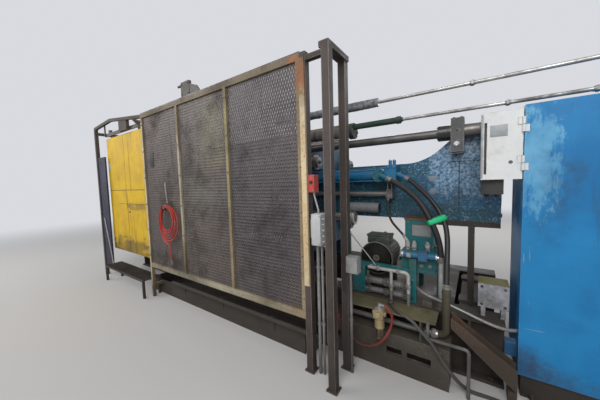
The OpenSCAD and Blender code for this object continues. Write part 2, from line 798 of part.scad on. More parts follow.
module valve_tower() color("teal") {
  block(tower_x, tower_y, [shelf_z[1], tower_split]);
  difference() {
    block(column_x, [column_y, tower_y[1]], [tower_split, column_top]);
    block(panel_x, [column_y - over, column_y + panel_deep], panel_z);
  }
  block([column_x[0] - 8, column_x[1] + 8], [column_y - 8, tower_y[1]],
    [column_top, column_top + cap_plate]);
  block(spool_x, [spool_y - 40, tower_y[0]], [spool_z - 38, spool_z + 38]);
  bar_x([spool_x[1], spool_x[1] + coil_l], spool_y - 2, spool_z, coil_r);
  bar_x([spool_x[0] - 2 * coil_l, spool_x[0]], spool_y - 2, spool_z, coil_r);
  bar_to(nipple, nipple_end, 13);
  for (x = stem_x) {
    bar_z(x, stem_y, [tower_split, stem_top - 20], stem_r);
    bar_z(x, stem_y, [stem_top - 20, stem_top], stem_r - 8);
  }
}

// Oil tank behind the cabinet
tank_leg = 100;

module hydraulic_tank() color("steelblue") {
  block(tank_x, tank_y, [tank_foot, tank_top]);
  for (x = [tank_x[0] + 40, tank_x[1] - 40 - tank_leg], y = [tank_y[0] + 20, tank_y[1] - 20 - tank_leg])
    block([x, x + tank_leg], [y, y + tank_leg], [0, tank_foot]);
  bar_z(tank_x[0] + 200, tank_y[0] + 500, [tank_top, tank_top + 90], 60);
}

// Electrical cabinet on its plinth, with the cable duct to the bed
cab_left = 2050;
cab_front = -700;
cab_x = [cab_left, cab_left + cab_w];
cab_y = [cab_front, cab_front + cab_d];
plinth_h = 170;
plinth_set = 20;
duct_z = [bed_h - 250, bed_h - 150];
duct_r = 40;

module cabinet() color("royalblue") {
  block(cab_x, cab_y, [plinth_h, cab_h]);
  block([bed_right, cab_x[0]], [-rail_y - duct_r, -rail_y + duct_r], duct_z);
}

module cabinet_plinth() color("black")
  block([cab_x[0] + plinth_set, cab_x[1] - plinth_set], [cab_y[0] + plinth_set, cab_y[1] - plinth_set],
    [0, plinth_h]);

// White control box on the side of the cabinet, with a hinged front
box_w = 240;
box_d = 200;
box_z = [cab_h - 500, cab_h - 20];
leaf_t = 22;
leaf_gap = 5;
hinge_r = 9;
hinge_pin_r = 4;
hinge_x = cab_x[0] - leaf_gap;
hinge_y = cab_y[0] - hinge_r - 1;
hinge_leaf = 30;
hinge_leaf_t = 4;
hinge_l = 48;
hinge_play = 4;
hinge_z = [box_z[0] + 60, box_z[1] - 160];
wall = 3;
box_x = [cab_x[0] - box_w, cab_x[0]];
box_y = [cab_y[0] + leaf_t + leaf_gap, cab_y[0] + leaf_t + leaf_gap + box_d];
gland_x = [box_x[0] + 5, box_x[0] + 140];
gland_h = 110;

module control_box() color("white") {
  difference() {
    block(box_x, box_y, box_z);
    block([box_x[0] + wall, box_x[1] - wall], [box_y[0] - over, box_y[1] - wall],
      [box_z[0] + wall, box_z[1] - wall]);
  }
  for (z = hinge_z) {
    bar_z(hinge_x, hinge_y, [z, z + hinge_l], hinge_r);
    bar_z(hinge_x, hinge_y, [z, z + 2 * hinge_l + hinge_play], hinge_pin_r);
    block([hinge_x, hinge_x + hinge_leaf], [cab_y[0] - hinge_leaf_t, cab_y[0]], [z, z + hinge_l]);
  }
  block(gland_x, [box_y[0] + 30, box_y[1] - 20], [box_z[0] - gland_h, box_z[0]]);
}

// The hinged front with its slot, which opens away from the box
door_slot_x = [18, 34];
door_slot_z = [box_z[0] + 40, box_z[1] - 70];

module control_box_door() color("white") {
  x = [box_x[0], hinge_x - 1];
  knuckle = [hinge_l + hinge_play, 2 * hinge_l + hinge_play];
  difference() {
    union() {
      difference() {
        block(x, [cab_y[0], cab_y[0] + leaf_t], box_z);
        block([x[0], x[0]] + door_slot_x, [cab_y[0] - over, cab_y[0] + leaf_t - 5], door_slot_z);
      }
      for (z = hinge_z) {
        bar_z(hinge_x, hinge_y, [z, z] + knuckle, hinge_r);
        block([x[1] - hinge_leaf, hinge_x], [cab_y[0] - hinge_leaf_t, cab_y[0]], [z, z] + knuckle);
      }
    }
    for (z = hinge_z)
      bar_z(hinge_x, hinge_y, [z + hinge_l, z + knuckle[1] + over], hinge_pin_r + 0.1);
  }
}

// Diamond mesh sheet of one bay
strand = 9;
mesh_t = 5;
diamond_w = 86;
diamond_h = 190;

module mesh_sheet(w, h) {
  nx = floor(w / diamond_w);
  nz = floor(h / diamond_h);
  px = w / nx;
  pz = h / nz;
  translate([0, mesh_t, 0]) rotate([90, 0, 0]) linear_extrude(mesh_t) difference() {
    square([w, h]);
    intersection() {
      translate([strand, strand]) square([w - 2 * strand, h - 2 * strand]);
      union() for (i = [0:2 * nx], j = [0:2 * nz]) if ((i + j) % 2 == 0)
        translate([i * px / 2, j * pz / 2])
          polygon([[px / 2 - strand, 0], [0, pz / 2 - strand * 2.2], [strand - px / 2, 0],
            [0, strand * 2.2 - pz / 2]]);
    }
  }
}

// Operator guard: stiles, rails, end post, bent top bar over the door
bar = 40;
beam_t = 55;
mesh_right_x = 605;
mesh_left_x = mesh_right_x - bays * bay_w;
rail_low_h = 65;
end_x = bed_left - 50;
end_post = 50;
gable_x = end_x + 700;
gable_low = 30;
gable_h = 80;
gable_t = 45;
stay_z = [150, 190];
post = 60;
portal_a = [655, -guard_y];
portal_b = [909, -guard_y - 90];
portal_c = [899, -guard_y + 192];
cover_bar_x = [632, 682];
cover_bar_t = 15;
track_box_x = [gable_x + 330, gable_x + 610];
track_box_gap = 6;
brace_x = mesh_left_x - 330;
brace_t = 25;
cover_bar_z = [750, guard_h - beam_t];

module bay_sheet(i) {
  x = mesh_left_x + i * bay_w;
  translate([x + bar / 2, -guard_y - mesh_t / 2, bay_low + rail_low_h])
    mesh_sheet(bay_w - bar, guard_h - beam_t - bay_low - rail_low_h);
}

module mesh_left() color("dimgray") bay_sheet(0);

module mesh_middle() color("dimgray") bay_sheet(1);

module mesh_right() color("dimgray") bay_sheet(2);

module sloped(x, z, y, h) {
  side_profile(y, [[x[0], z[0]], [x[1], z[1]], [x[1], z[1] + h], [x[0], z[0] + h]]);
}

module guard_frame() color("tan") {
  y = [-guard_y - bar / 2, -guard_y + bar / 2];
  block([mesh_left_x - bar / 2, portal_a[0] - post / 2], y, [guard_h - beam_t, guard_h]);
  block([mesh_left_x - bar / 2, mesh_right_x + bar / 2], y, [bay_low, bay_low + rail_low_h]);
  for (i = [0:bays])
    block([mesh_left_x + i * bay_w - bar / 2, mesh_left_x + i * bay_w + bar / 2], y,
      [i == 0 ? 0 : bay_low, guard_h]);
  block([end_x, end_x + end_post], [-guard_y - end_post / 2, -guard_y + end_post / 2],
    [0, guard_h + gable_low + 10]);
  block([mesh_left_x - bar / 2, mesh_left_x + bar / 2], [-guard_y + bar / 2, -tray_y], stay_z);
  sloped([end_x, gable_x], [guard_h + gable_low, guard_h + gable_h], y, gable_t);
  sloped([gable_x, mesh_left_x - bar / 2], [guard_h + gable_h, guard_h - gable_t], y, gable_t);
  block(track_box_x, [y[0] + 10, track_y[0] - track_box_gap], [track_z - 10, guard_h + gable_low + 20]);
  for (z = [guard_h - beam_t - 60, guard_h - beam_t - 160])
    side_profile([y[0] + 5, y[1] - 5],
      [[brace_x, guard_h], [mesh_left_x, z], [mesh_left_x, z + brace_t], [brace_x + brace_t, guard_h]]);
  block(cover_bar_x, [portal_a[1] - post / 2 - cover_bar_t, portal_a[1] - post / 2], cover_bar_z);
}

// Steel posts of the portal at the injection end of the guard
portal_drop = 35;
portal_top_h = 40;
strip_t = 12;

module portal_post(p, z) {
  block([p[0] - post / 2, p[0] + post / 2], [p[1] - post / 2, p[1] + post / 2], [0, z]);
}

module portal_posts() color("dimgray") {
  z = [guard_h - portal_drop - portal_top_h, guard_h - portal_drop];
  portal_post(portal_a, guard_h - 5);
  for (p = [portal_b, portal_c]) portal_post(p, z[0]);
  block([portal_a[0] - 20, portal_a[0] + 20], [portal_a[1] + post / 2, -step_y], stay_z);
  block([portal_c[0] - 40, portal_b[0] + 30], [portal_b[1] - post / 2, portal_c[1] + post / 2], z);
  block([portal_a[0] - post / 2, portal_c[0] - 40], [-guard_y - 25, -guard_y + 25], z);
  block([mesh_left_x - bar / 2, portal_a[0] - post / 2], [-guard_y - bar / 2, -guard_y + bar / 2 - 2],
    [guard_h, guard_h + strip_t]);
}

// Track of the sheet steel door behind the mesh
door_y = guard_y - 60;
door_left = end_x + 340;
door_x = [door_left, door_left + door_w];
door_low = 530;
door_t = 30;
track_z = guard_h - 120;
track_h = 50;
track_x = [door_x[0] - 20, door_x[1] + door_travel + 60];
track_y = [-door_y - 20, -door_y + 8];
door_z = [door_low, track_z - 40];
wheel_r = 26;
strap_w = 60;
strap_t = 8;
hanger_in = 150;
hanger_x = [door_x[0] + hanger_in, door_x[1] - hanger_in];
bracket_t = 20;
bracket_pitch = 300;
bracket_x = [door_x[0], mesh_left_x,
  min(mesh_left_x + bay_w, track_x[1] - bracket_t - bracket_pitch), track_x[1] - bracket_t];

module door_track() color("dimgray") {
  block(track_x, track_y, [track_z, track_z + track_h]);
  for (x = bracket_x)
    block([x, x + bracket_t], [-guard_y + bar / 2, track_y[0]],
      [track_z, x < mesh_left_x ? guard_h + gable_h - 10 : guard_h - 10]);
}

// Sheet steel door: a pan with a frame and cross ribs on its back
sheet_t = 4;
pan_w = 60;
pan_rows = 3;
seam_up = 1030;

module sliding_door() color("gold") {
  y = [-door_y - door_t / 2, -door_y + door_t / 2];
  row = (door_z[1] - door_z[0] - pan_w) / pan_rows;
  difference() {
    block(door_x, y, door_z);
    for (i = [0:pan_rows - 1])
      block([door_x[0] + pan_w, door_x[1] - pan_w], [y[0] + sheet_t, y[1] + over],
        [door_z[0] + pan_w + i * row, door_z[0] + (i + 1) * row]);
    block([door_x[0] - over, door_x[1] + over], [y[0] - over, y[0] + seam_deep],
      [door_z[0] + seam_up, door_z[0] + seam_up + 2 * seam_w]);
  }
}

// Straps on the back of the door with the wheels that run on the track
module door_hangers() color("dimgray") for (x = hanger_x) {
  block([x - strap_w / 2, x + strap_w / 2], [-door_y + door_t / 2, -door_y + door_t / 2 + strap_t],
    [door_z[1] - hanger_in, track_z + track_h + 2 * wheel_r]);
  bar_y(x, [track_y[0] + 2, -door_y + door_t / 2], track_z + track_h + eps + wheel_r, wheel_r);
}

// Plain panel between the end post and the door
panel_t = 24;
end_panel_z = [200, 2150];

module end_panel() color("midnightblue")
  block([end_x + end_post, door_x[0] + 20], [-guard_y - panel_t / 2, -guard_y + panel_t / 2], end_panel_z);

// Wire grating step below the door
step_deck_x = [door_x[0] + 60, mesh_left_x - bar / 2];
step_deck_z = 270;
step_deck_y = [-guard_y - 140, -guard_y + 110];
wire_t = 8;
wire_pitch = 60;
step_leg = 30;

module step_grating() color("dimgray") {
  for (x = [step_deck_x[0] : wire_pitch : step_deck_x[1] - wire_t])
    block([x, x + wire_t], step_deck_y, [step_deck_z - 20, step_deck_z]);
  for (y = [step_deck_y[0], step_deck_y[1] - wire_t])
    block(step_deck_x, [y, y + wire_t], [step_deck_z - 30, step_deck_z]);
  for (x = [step_deck_x[0], step_deck_x[1] - step_leg], y = [step_deck_y[0], step_deck_y[1] - step_leg])
    block([x, x + step_leg], [y, y + step_leg], [0, step_deck_z - 20]);
}

// Plain guard on the far side
rear_end = -200;
rear_half = (rear_end - mesh_left_x) / 2;
rear_sheet_t = 8;

module rear_guard_frame() color("tan") {
  y = [guard_y - bar / 2, guard_y + bar / 2];
  block([end_x, rear_end], y, [guard_h - beam_t, guard_h]);
  block([end_x, rear_end], y, [bay_low, bay_low + rail_low_h]);
  for (x = [end_x, mesh_left_x, mesh_left_x + rear_half, rear_end - bar])
    block([x, x + bar], y, [0, guard_h]);
  block([end_x, end_x + end_post], [-guard_y + end_post / 2, guard_y - bar / 2],
    [guard_h - beam_t, guard_h - 10]);
}

module rear_guard_panels() color("dimgray") {
  z = bay_low + rail_low_h;
  h = guard_h - beam_t - z;
  block([end_x + bar, mesh_left_x], [guard_y - rear_sheet_t / 2, guard_y + rear_sheet_t / 2], [z, z + h]);
  translate([mesh_left_x + bar, guard_y, z]) mesh_sheet(rear_half - bar, h);
  translate([mesh_left_x + rear_half + bar, guard_y, z]) mesh_sheet(rear_half - 2 * bar, h);
}

// Coolant pipe along the front tray, on its brackets
cool_r = 22;
cool_y = tray_y + 28 + cool_r;
cool_z = tray_h + 55;
cool_x = [-1700, 800];
cool_lug_x = [-1500, -700, 100];
cool_lug = 30;

module coolant_pipe() color("gray") {
  bar_x(cool_x, -cool_y, cool_z, cool_r);
  for (x = cool_lug_x) {
    block([x, x + cool_lug], [-tray_y - tray_t, -tray_y], [tray_h - 80, cool_z + 7]);
    block([x, x + cool_lug], [-cool_y + 10, -tray_y - tray_t], [cool_z - 5, cool_z + 7]);
  }
}

// Switch and junction boxes on the posts, and the valve on the top beam
red_w = 60;
red_z = [1520, 1660];
junction_x = [717, 805];
junction_y = [portal_a[1] - 50, portal_a[1] + 50];
junction_z = [1100, 1350];
gland_n = 5;
gland_r = 9;
small_w = 100;
small_y = [portal_c[1] - 72, portal_c[1] - 2];
small_z = [862, 995];
valve_x = [-1045, -885];
valve_h = 160;

module post_boxes() color("lightgray") {
  a = portal_a[0] + post / 2;
  c = portal_c[0] + post / 2;
  top = guard_h + strip_t;
  block([a, a + red_w], [portal_a[1] - 30, portal_a[1] + 30], red_z);
  block(junction_x, junction_y, junction_z);
  block([a, junction_x[0]], [portal_a[1] - 10, portal_a[1] + 10], [junction_z[0] + 50, junction_z[1] - 50]);
  for (i = [0:gland_n - 1])
    bar_x([junction_x[1], junction_x[1] + 14], junction_y[0] + 30, junction_z[0] + 30 + i * 45, gland_r);
  block([c, c + small_w], small_y, small_z);
  block(valve_x, [-guard_y - 20, -guard_y + 15], [top, top + valve_h]);
  bar_x([valve_x[0] - 75, valve_x[0]], -guard_y - 2, top + valve_h - 24, 14);
  side_profile([-guard_y - 15, -guard_y + 12],
    [[valve_x[1], top], [valve_x[1] + 185, top], [valve_x[1] + 120, top + 80], [valve_x[1], top + 120]]);
}

// Conduits between the boxes and down to the floor
conduit_r = 9;
conduit_end = 27;

module conduits() color("silver") {
  z = [junction_z[1], red_z[0]];
  top = [portal_a[0] + 67, portal_a[1], z[1] - conduit_end];
  low = [junction_x[0] + 40, portal_a[1], z[0] + conduit_end];
  bar_z(top[0], top[1], [top[2] - conduit_r / 2, z[1]], conduit_r);
  bar_to(top, low, conduit_r - 1);
  bar_z(low[0], low[1], [z[0], low[2] + conduit_r / 2], conduit_r);
  bar_z(junction_x[0] + 20, portal_a[1] + 10, [0, junction_z[0]], 14);
  bar_z(junction_x[0] + 55, portal_a[1] + 15, [0, junction_z[0]], 10);
  bar_z(portal_c[0] + 56, (small_y[0] + small_y[1]) / 2, [0, small_z[0]], 12);
}

// Air regulator on the edge of the ledge, with its bent port, and the elbow
// on the portal post where the red hose ends
reg = [1144, -ledge_y - 90];
reg_w = 78;
reg_head = [bed_h - 30, bed_h + 40];
reg_body_z = bed_h - 115;
reg_bowl_z = bed_h - 195;
reg_port = 13;
reg_port_z = reg_head[1] + 35;
reg_port_x = reg[0] + 20;
wall_port_x = portal_c[0] - post / 2 - 63;
wall_port_z = [715, 760];

module air_regulator() color("goldenrod") {
  block([reg[0] - reg_w / 2, reg[0] + reg_w / 2], [reg[1] - reg_w / 2, reg[1] + reg_w / 2], reg_head);
  bar_z(reg[0], reg[1], [reg_body_z, reg_head[0]], reg_w / 2 - 2);
  bar_z(reg[0], reg[1], [reg_bowl_z, reg_body_z], reg_w / 2 - 8);
  block([reg[0] - 20, reg[0] + 20], [reg[1] + reg_w / 2, -ledge_y + 20], [ledge_z[1], ledge_z[1] + 20]);
  bar_z(reg[0], reg[1], [reg_head[1], reg_port_z + reg_port], reg_port);
  bar_x([reg[0], reg_port_x], reg[1], reg_port_z, reg_port);
  bar_x([wall_port_x - reg_port, portal_c[0] - post / 2], portal_c[1], wall_port_z[1], reg_port);
  bar_z(wall_port_x, portal_c[1], wall_port_z, reg_port);
}

// Inclined trough beside the bed, which widens towards its lower end
chute_x = [1640, 2040];
chute_y = [-810, -700];
chute_top = [bed_h + 20, bed_h - 250];
chute_low = [bed_h - 60, bed_h - 410];
chute_t = 12;

module chute() color("saddlebrown") {
  for (y = [chute_y[0], chute_y[1] - chute_t])
    side_profile([y, y + chute_t], [[chute_x[0], chute_low[0]], [chute_x[1], chute_low[1]],
      [chute_x[1], chute_top[1]], [chute_x[0], chute_top[0]]]);
  sloped(chute_x, chute_low, [chute_y[0] + chute_t, chute_y[1] - chute_t], chute_t);
  block([chute_x[0], chute_x[0] + chute_t], [chute_y[1], -rail_out], [chute_low[0] + 20, bed_h]);
  block([chute_x[1] - 50, chute_x[1]], chute_y, [0, chute_low[1]]);
}

// Block on two legs at the end of the bed
block_x = [1810, 2005];
block_y = [-600, -430];
block_z = [bed_h + 75, bed_h + 265];
block_leg = 30;

module support_block() color("gray") {
  block(block_x, block_y, block_z);
  for (x = [block_x[0] + 20, block_x[1] - 20 - block_leg])
    block([x, x + block_leg], [-rail_y - 15, -rail_in - 15], [bed_h, block_z[0]]);
}

// Hook and the red air line coiled on it
coil_x = -1490;
coil_y = -guard_y - 65;
coil_z = 1080;
coil_t = 56;
coil_big = [235, 160];
coil_small = [155, 80];
small_up = 160;
hook_t = 12;
hook_z = coil_z + small_up + coil_small[1] - 1;

module hose_hook() color("black") {
  face = -guard_y - mesh_t / 2;
  block([coil_x - 60, coil_x + 60], [face - 4, face], [hook_z - hook_t, hook_z + 90]);
  block([coil_x - 8, coil_x + 8], [coil_y - coil_t / 2 - 12, face - 4], [hook_z - hook_t, hook_z]);
  block([coil_x - 8, coil_x + 8], [coil_y - coil_t / 2 - 24, coil_y - coil_t / 2 - 12],
    [hook_z - hook_t, hook_z + 30]);
}

module hose_coil() color("red") {
  translate([coil_x, coil_y + coil_t / 2, coil_z]) rotate([90, 0, 0]) linear_extrude(coil_t) difference() {
    union() {
      circle(r = coil_big[0], $fn = round_n);
      translate([0, small_up - 10]) circle(r = coil_small[0], $fn = round_n);
    }
    translate([0, -20]) circle(r = coil_big[1], $fn = round_n);
    translate([0, small_up]) circle(r = coil_small[1], $fn = round_n);
  }
}

// Tube along a chosen route
function cr(a, b, c, d, t) = 0.5 * (2 * b + (c - a) * t + (2 * a - 5 * b + 4 * c - d) * t * t
  + (3 * b - a - 3 * c + d) * t * t * t);
function smooth(p, k) = [for (i = [0:len(p) - 2]) for (j = [0:k - 1])
  cr(p[max(i - 1, 0)], p[i], p[i + 1], p[min(i + 2, len(p) - 1)], j / k), p[len(p) - 1]];
function unit(v) = v / norm(v);
function tangent(p, i) = unit(p[min(i + 1, len(p) - 1)] - p[max(i - 1, 0)]);
function first_side(t) = unit(cross(t, abs(t[2]) < 0.9 ? [0, 0, 1] : [1, 0, 0]));
function sides(p, acc) = len(acc) == len(p) ? acc
  : let (t = tangent(p, len(acc)), u = acc[len(acc) - 1]) sides(p, concat(acc, [unit(u - (u * t) * t)]));

module tube(p, r, n = 8) {
  u = sides(p, [first_side(tangent(p, 0))]);
  m = len(p);
  rings = [for (i = [0:m - 1]) for (j = [0:n - 1])
    p[i] + r * (cos(360 * j / n) * u[i] + sin(360 * j / n) * cross(tangent(p, i), u[i]))];
  faces = concat([[for (j = [0:n - 1]) j]], [[for (j = [n - 1:-1:0]) (m - 1) * n + j]],
    [for (i = [0:m - 2]) for (j = [0:n - 1])
      [i * n + j, (i + 1) * n + j, (i + 1) * n + (j + 1) % n, i * n + (j + 1) % n]]);
  polyhedron(points = rings, faces = faces, convexity = 6);
}

// Straight start of a hose that leaves point p along v
function start(p, v, s) = [p + eps * unit(v), p + (eps + s) * unit(v), p + (eps + 2 * s) * unit(v)];
function finish(p, v, s) = [p + (eps + 2 * s) * unit(v), p + (eps + s) * unit(v), p + eps * unit(v)];

tail_route = [[-1443, -1345, 852], [-1429, -1345, 820], [-1423, -1345, 780], [-1412, -1345, 730],
  [-1404, -1345, 685],
  [-1400, -1345, 640]];
hose_a_route = concat(start(port_a_end, port_a_end - port_a, 18),
  [[1200, -582, 1557], [1285, -602, 1497], [1370, -622, 1420], [1438, -640, 1322], [1490, -650, 1215],
    [1525, -652, 1120], [1547, -650, 1020]],
  finish([hose_a_foot[0], hose_a_foot[1], hose_a_z], up, 18));
hose_b_route = concat(start(port_b_end, port_b_end - port_b, 18),
  [[1361, -500, 1519], [1471, -548, 1407], [1540, -585, 1305], [1580, -615, 1212], [1598, -650, 1105],
    [1602, -697, 985], [1604, -745, 880]],
  finish([olive_x, olive_y, olive_z[1]], up, 18));
pilot_start = [return_block[0] + 14, -return_y - 15, return_z - 45];
pilot_route = concat(start(pilot_start, down, 14),
  [[1063, -428, 1330], [1080, -460, 1260], [1120, -500, 1195], [1175, -530, 1142]],
  finish(nipple_end, nipple_end - nipple, 12));
air_route = concat(start([reg_port_x, reg[1], reg_port_z], [1, 0, 0], 10),
  [[1206, -990, 566], [1228, -990, 548], [1241, -991, 521], [1246, -991, 488], [1243, -993, 445],
    [1230, -998, 395],
   [1204, -1010, 338], [1165, -1022, 282], [1110, -1026, 237], [1045, -1026, 210], [985, -1024, 206],
   [930, -1022, 222], [880, -1030, 262], [840, -1048, 322], [815, -1069, 410], [805, -1082, 505],
   [802, -1088, 590], [803, -1088, 650]],
  finish([wall_port_x, portal_c[1], wall_port_z[0]], down, 12));

module hose_tail() color("red") tube(smooth(tail_route, 4), 7);

module pressure_hose_a() color("black") tube(smooth(hose_a_route, 4), 24);

module pressure_hose_b() color("black") tube(smooth(hose_b_route, 4), 20);

module pilot_hose() color("black") tube(smooth(pilot_route, 4), 11);

module air_hose() color("red") tube(smooth(air_route, 3), 10);

bed_frame();
bed_beams();
drip_trays();
shot_step();
fixed_platen();
moving_platen();
rear_platen();
tie_bars();
toggle_links();
toggle_pins();
crosshead();
closing_cylinder();
shot_frame_front();
shot_frame_rear();
shot_head();
shot_cylinder();
plunger();
shot_sleeve();
shot_support();
strain_rods();
rod_clamps();
intensifier();
return_rod();
rod_tray();
accumulators();
overhead_pipes();
pump_frame();
pump_motor();
pump_pipes();
valve_tower();
hydraulic_tank();
cabinet();
cabinet_plinth();
control_box();
control_box_door();
guard_frame();
mesh_left();
mesh_middle();
mesh_right();
portal_posts();
door_track();
sliding_door();
door_hangers();
end_panel();
step_grating();
rear_guard_frame();
rear_guard_panels();
coolant_pipe();
post_boxes();
conduits();
air_regulator();
chute();
support_block();
hose_hook();
hose_coil();
hose_tail();
pressure_hose_a();
pressure_hose_b();
pilot_hose();
air_hose();
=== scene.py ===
"""Looks of a horizontal cold-chamber die casting machine with its operator guard.

X runs along the machine towards the injection end, the operator stands on the
-Y side and Z is up. All lengths are metres.
"""

import logging
import math
import random
from collections.abc import Callable, Sequence
from dataclasses import dataclass
from enum import Enum

import bpy
from mathutils import Matrix, Vector, geometry


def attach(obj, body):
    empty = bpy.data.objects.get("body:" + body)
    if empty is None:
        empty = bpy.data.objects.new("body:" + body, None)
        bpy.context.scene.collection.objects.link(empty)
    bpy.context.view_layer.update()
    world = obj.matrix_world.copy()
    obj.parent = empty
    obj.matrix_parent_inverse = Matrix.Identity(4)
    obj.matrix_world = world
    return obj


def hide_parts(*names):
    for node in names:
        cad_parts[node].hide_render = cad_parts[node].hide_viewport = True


LOG = logging.getLogger("machine")
Colour = tuple[float, float, float]
Point = tuple[float, float, float]

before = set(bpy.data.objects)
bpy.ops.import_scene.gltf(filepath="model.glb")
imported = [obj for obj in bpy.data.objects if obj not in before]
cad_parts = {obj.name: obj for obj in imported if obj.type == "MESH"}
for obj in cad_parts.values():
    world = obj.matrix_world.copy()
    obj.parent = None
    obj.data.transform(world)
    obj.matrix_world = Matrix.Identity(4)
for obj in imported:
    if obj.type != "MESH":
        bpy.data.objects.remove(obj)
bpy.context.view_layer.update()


class Body(Enum):
    """The rigid bodies that a piece can ride on."""

    MACHINE = "machine"
    DOOR = "door"
    BOX_LID = "box_lid"


class NodeCanvas:
    """A node tree with short ways to add, fill and link its nodes."""

    def __init__(self, tree: bpy.types.NodeTree) -> None:
        """Keeps the tree that the nodes go into."""
        self.tree = tree

    def add(self, kind: str, **settings: object) -> bpy.types.Node:
        """Adds one node.

        Args:
            kind: The node's Blender type name.
            settings: Attributes of the node, such as its operation.

        Returns:
            The new node.
        """
        node = self.tree.nodes.new(kind)
        for name, value in settings.items():
            setattr(node, name, value)
        return node

    def put(self, socket: bpy.types.NodeSocket, value: object) -> None:
        """Links a socket to another one, or sets its value."""
        if isinstance(value, bpy.types.NodeSocket):
            self.tree.links.new(value, socket)
        elif isinstance(value, tuple) and len(value) == 3 and socket.type == "RGBA":
            socket.default_value = (*value, 1.0)
        else:
            socket.default_value = value

    def math(self, operation: str, a: object, b: object = 0.0, clamp: bool = False) -> bpy.types.NodeSocket:
        """Adds a Math node on two values and returns its result."""
        node = self.add("ShaderNodeMath", operation=operation, use_clamp=clamp)
        self.put(node.inputs[0], a)
        self.put(node.inputs[1], b)
        return node.outputs[0]

    def noise(self, vector: object, scale: object, detail: float, rough: float) -> bpy.types.NodeSocket:
        """Adds a Noise Texture and returns its factor."""
        node = self.add("ShaderNodeTexNoise")
        self.put(node.inputs["Vector"], vector)
        self.put(node.inputs["Scale"], scale)
        node.inputs["Detail"].default_value = detail
        node.inputs["Roughness"].default_value = rough
        return node.outputs["Fac"]

    def span(self, value: object, low: object, high: object) -> bpy.types.NodeSocket:
        """Maps a value from low..high to 0..1, smoothly and clamped."""
        node = self.add("ShaderNodeMapRange", interpolation_type="SMOOTHSTEP")
        self.put(node.inputs["Value"], value)
        self.put(node.inputs["From Min"], low)
        self.put(node.inputs["From Max"], high)
        return node.outputs["Result"]

    def stretch(self, vector: object, scale: Point, turn: Point = (0.0, 0.0, 0.0)) -> bpy.types.NodeSocket:
        """Scales and turns a coordinate with a Mapping node."""
        node = self.add("ShaderNodeMapping")
        self.put(node.inputs["Vector"], vector)
        node.inputs["Scale"].default_value = scale
        node.inputs["Rotation"].default_value = turn
        return node.outputs["Vector"]

    def mix(self, mask: object, low: object, high: object) -> bpy.types.NodeSocket:
        """Mixes two colours by a mask and returns the colour."""
        node = self.add("ShaderNodeMix", data_type="RGBA")
        self.put(node.inputs[0], mask)
        self.put(node.inputs[6], low)
        self.put(node.inputs[7], high)
        return node.outputs[2]

    def blend(self, mask: object, low: object, high: object) -> bpy.types.NodeSocket:
        """Mixes two numbers by a mask and returns the number."""
        node = self.add("ShaderNodeMix", data_type="FLOAT")
        self.put(node.inputs[0], mask)
        self.put(node.inputs[2], low)
        self.put(node.inputs[3], high)
        return node.outputs[0]

    def group(self, tree: bpy.types.NodeTree, **values: object) -> bpy.types.Node:
        """Places a node group and fills its named inputs."""
        node = self.add("ShaderNodeGroup")
        node.node_tree = tree
        for name, value in values.items():
            self.put(node.inputs[name.replace("_", " ").title()], value)
        return node


class EffectGroup:
    """A shader node group that several materials share."""

    def __init__(self, name: str, inputs: dict[str, float], outputs: tuple[str, ...]) -> None:
        """Makes the group with a vector input, number inputs and number outputs."""
        self.tree = bpy.data.node_groups.new(name, "ShaderNodeTree")
        self.tree.interface.new_socket("Vector", in_out="INPUT", socket_type="NodeSocketVector")
        for label, value in inputs.items():
            socket = self.tree.interface.new_socket(label, in_out="INPUT", socket_type="NodeSocketFloat")
            socket.default_value = value
        for label in outputs:
            self.tree.interface.new_socket(label, in_out="OUTPUT", socket_type="NodeSocketFloat")
        self.canvas = NodeCanvas(self.tree)
        self.given = self.canvas.add("NodeGroupInput").outputs
        self.result = self.canvas.add("NodeGroupOutput").inputs


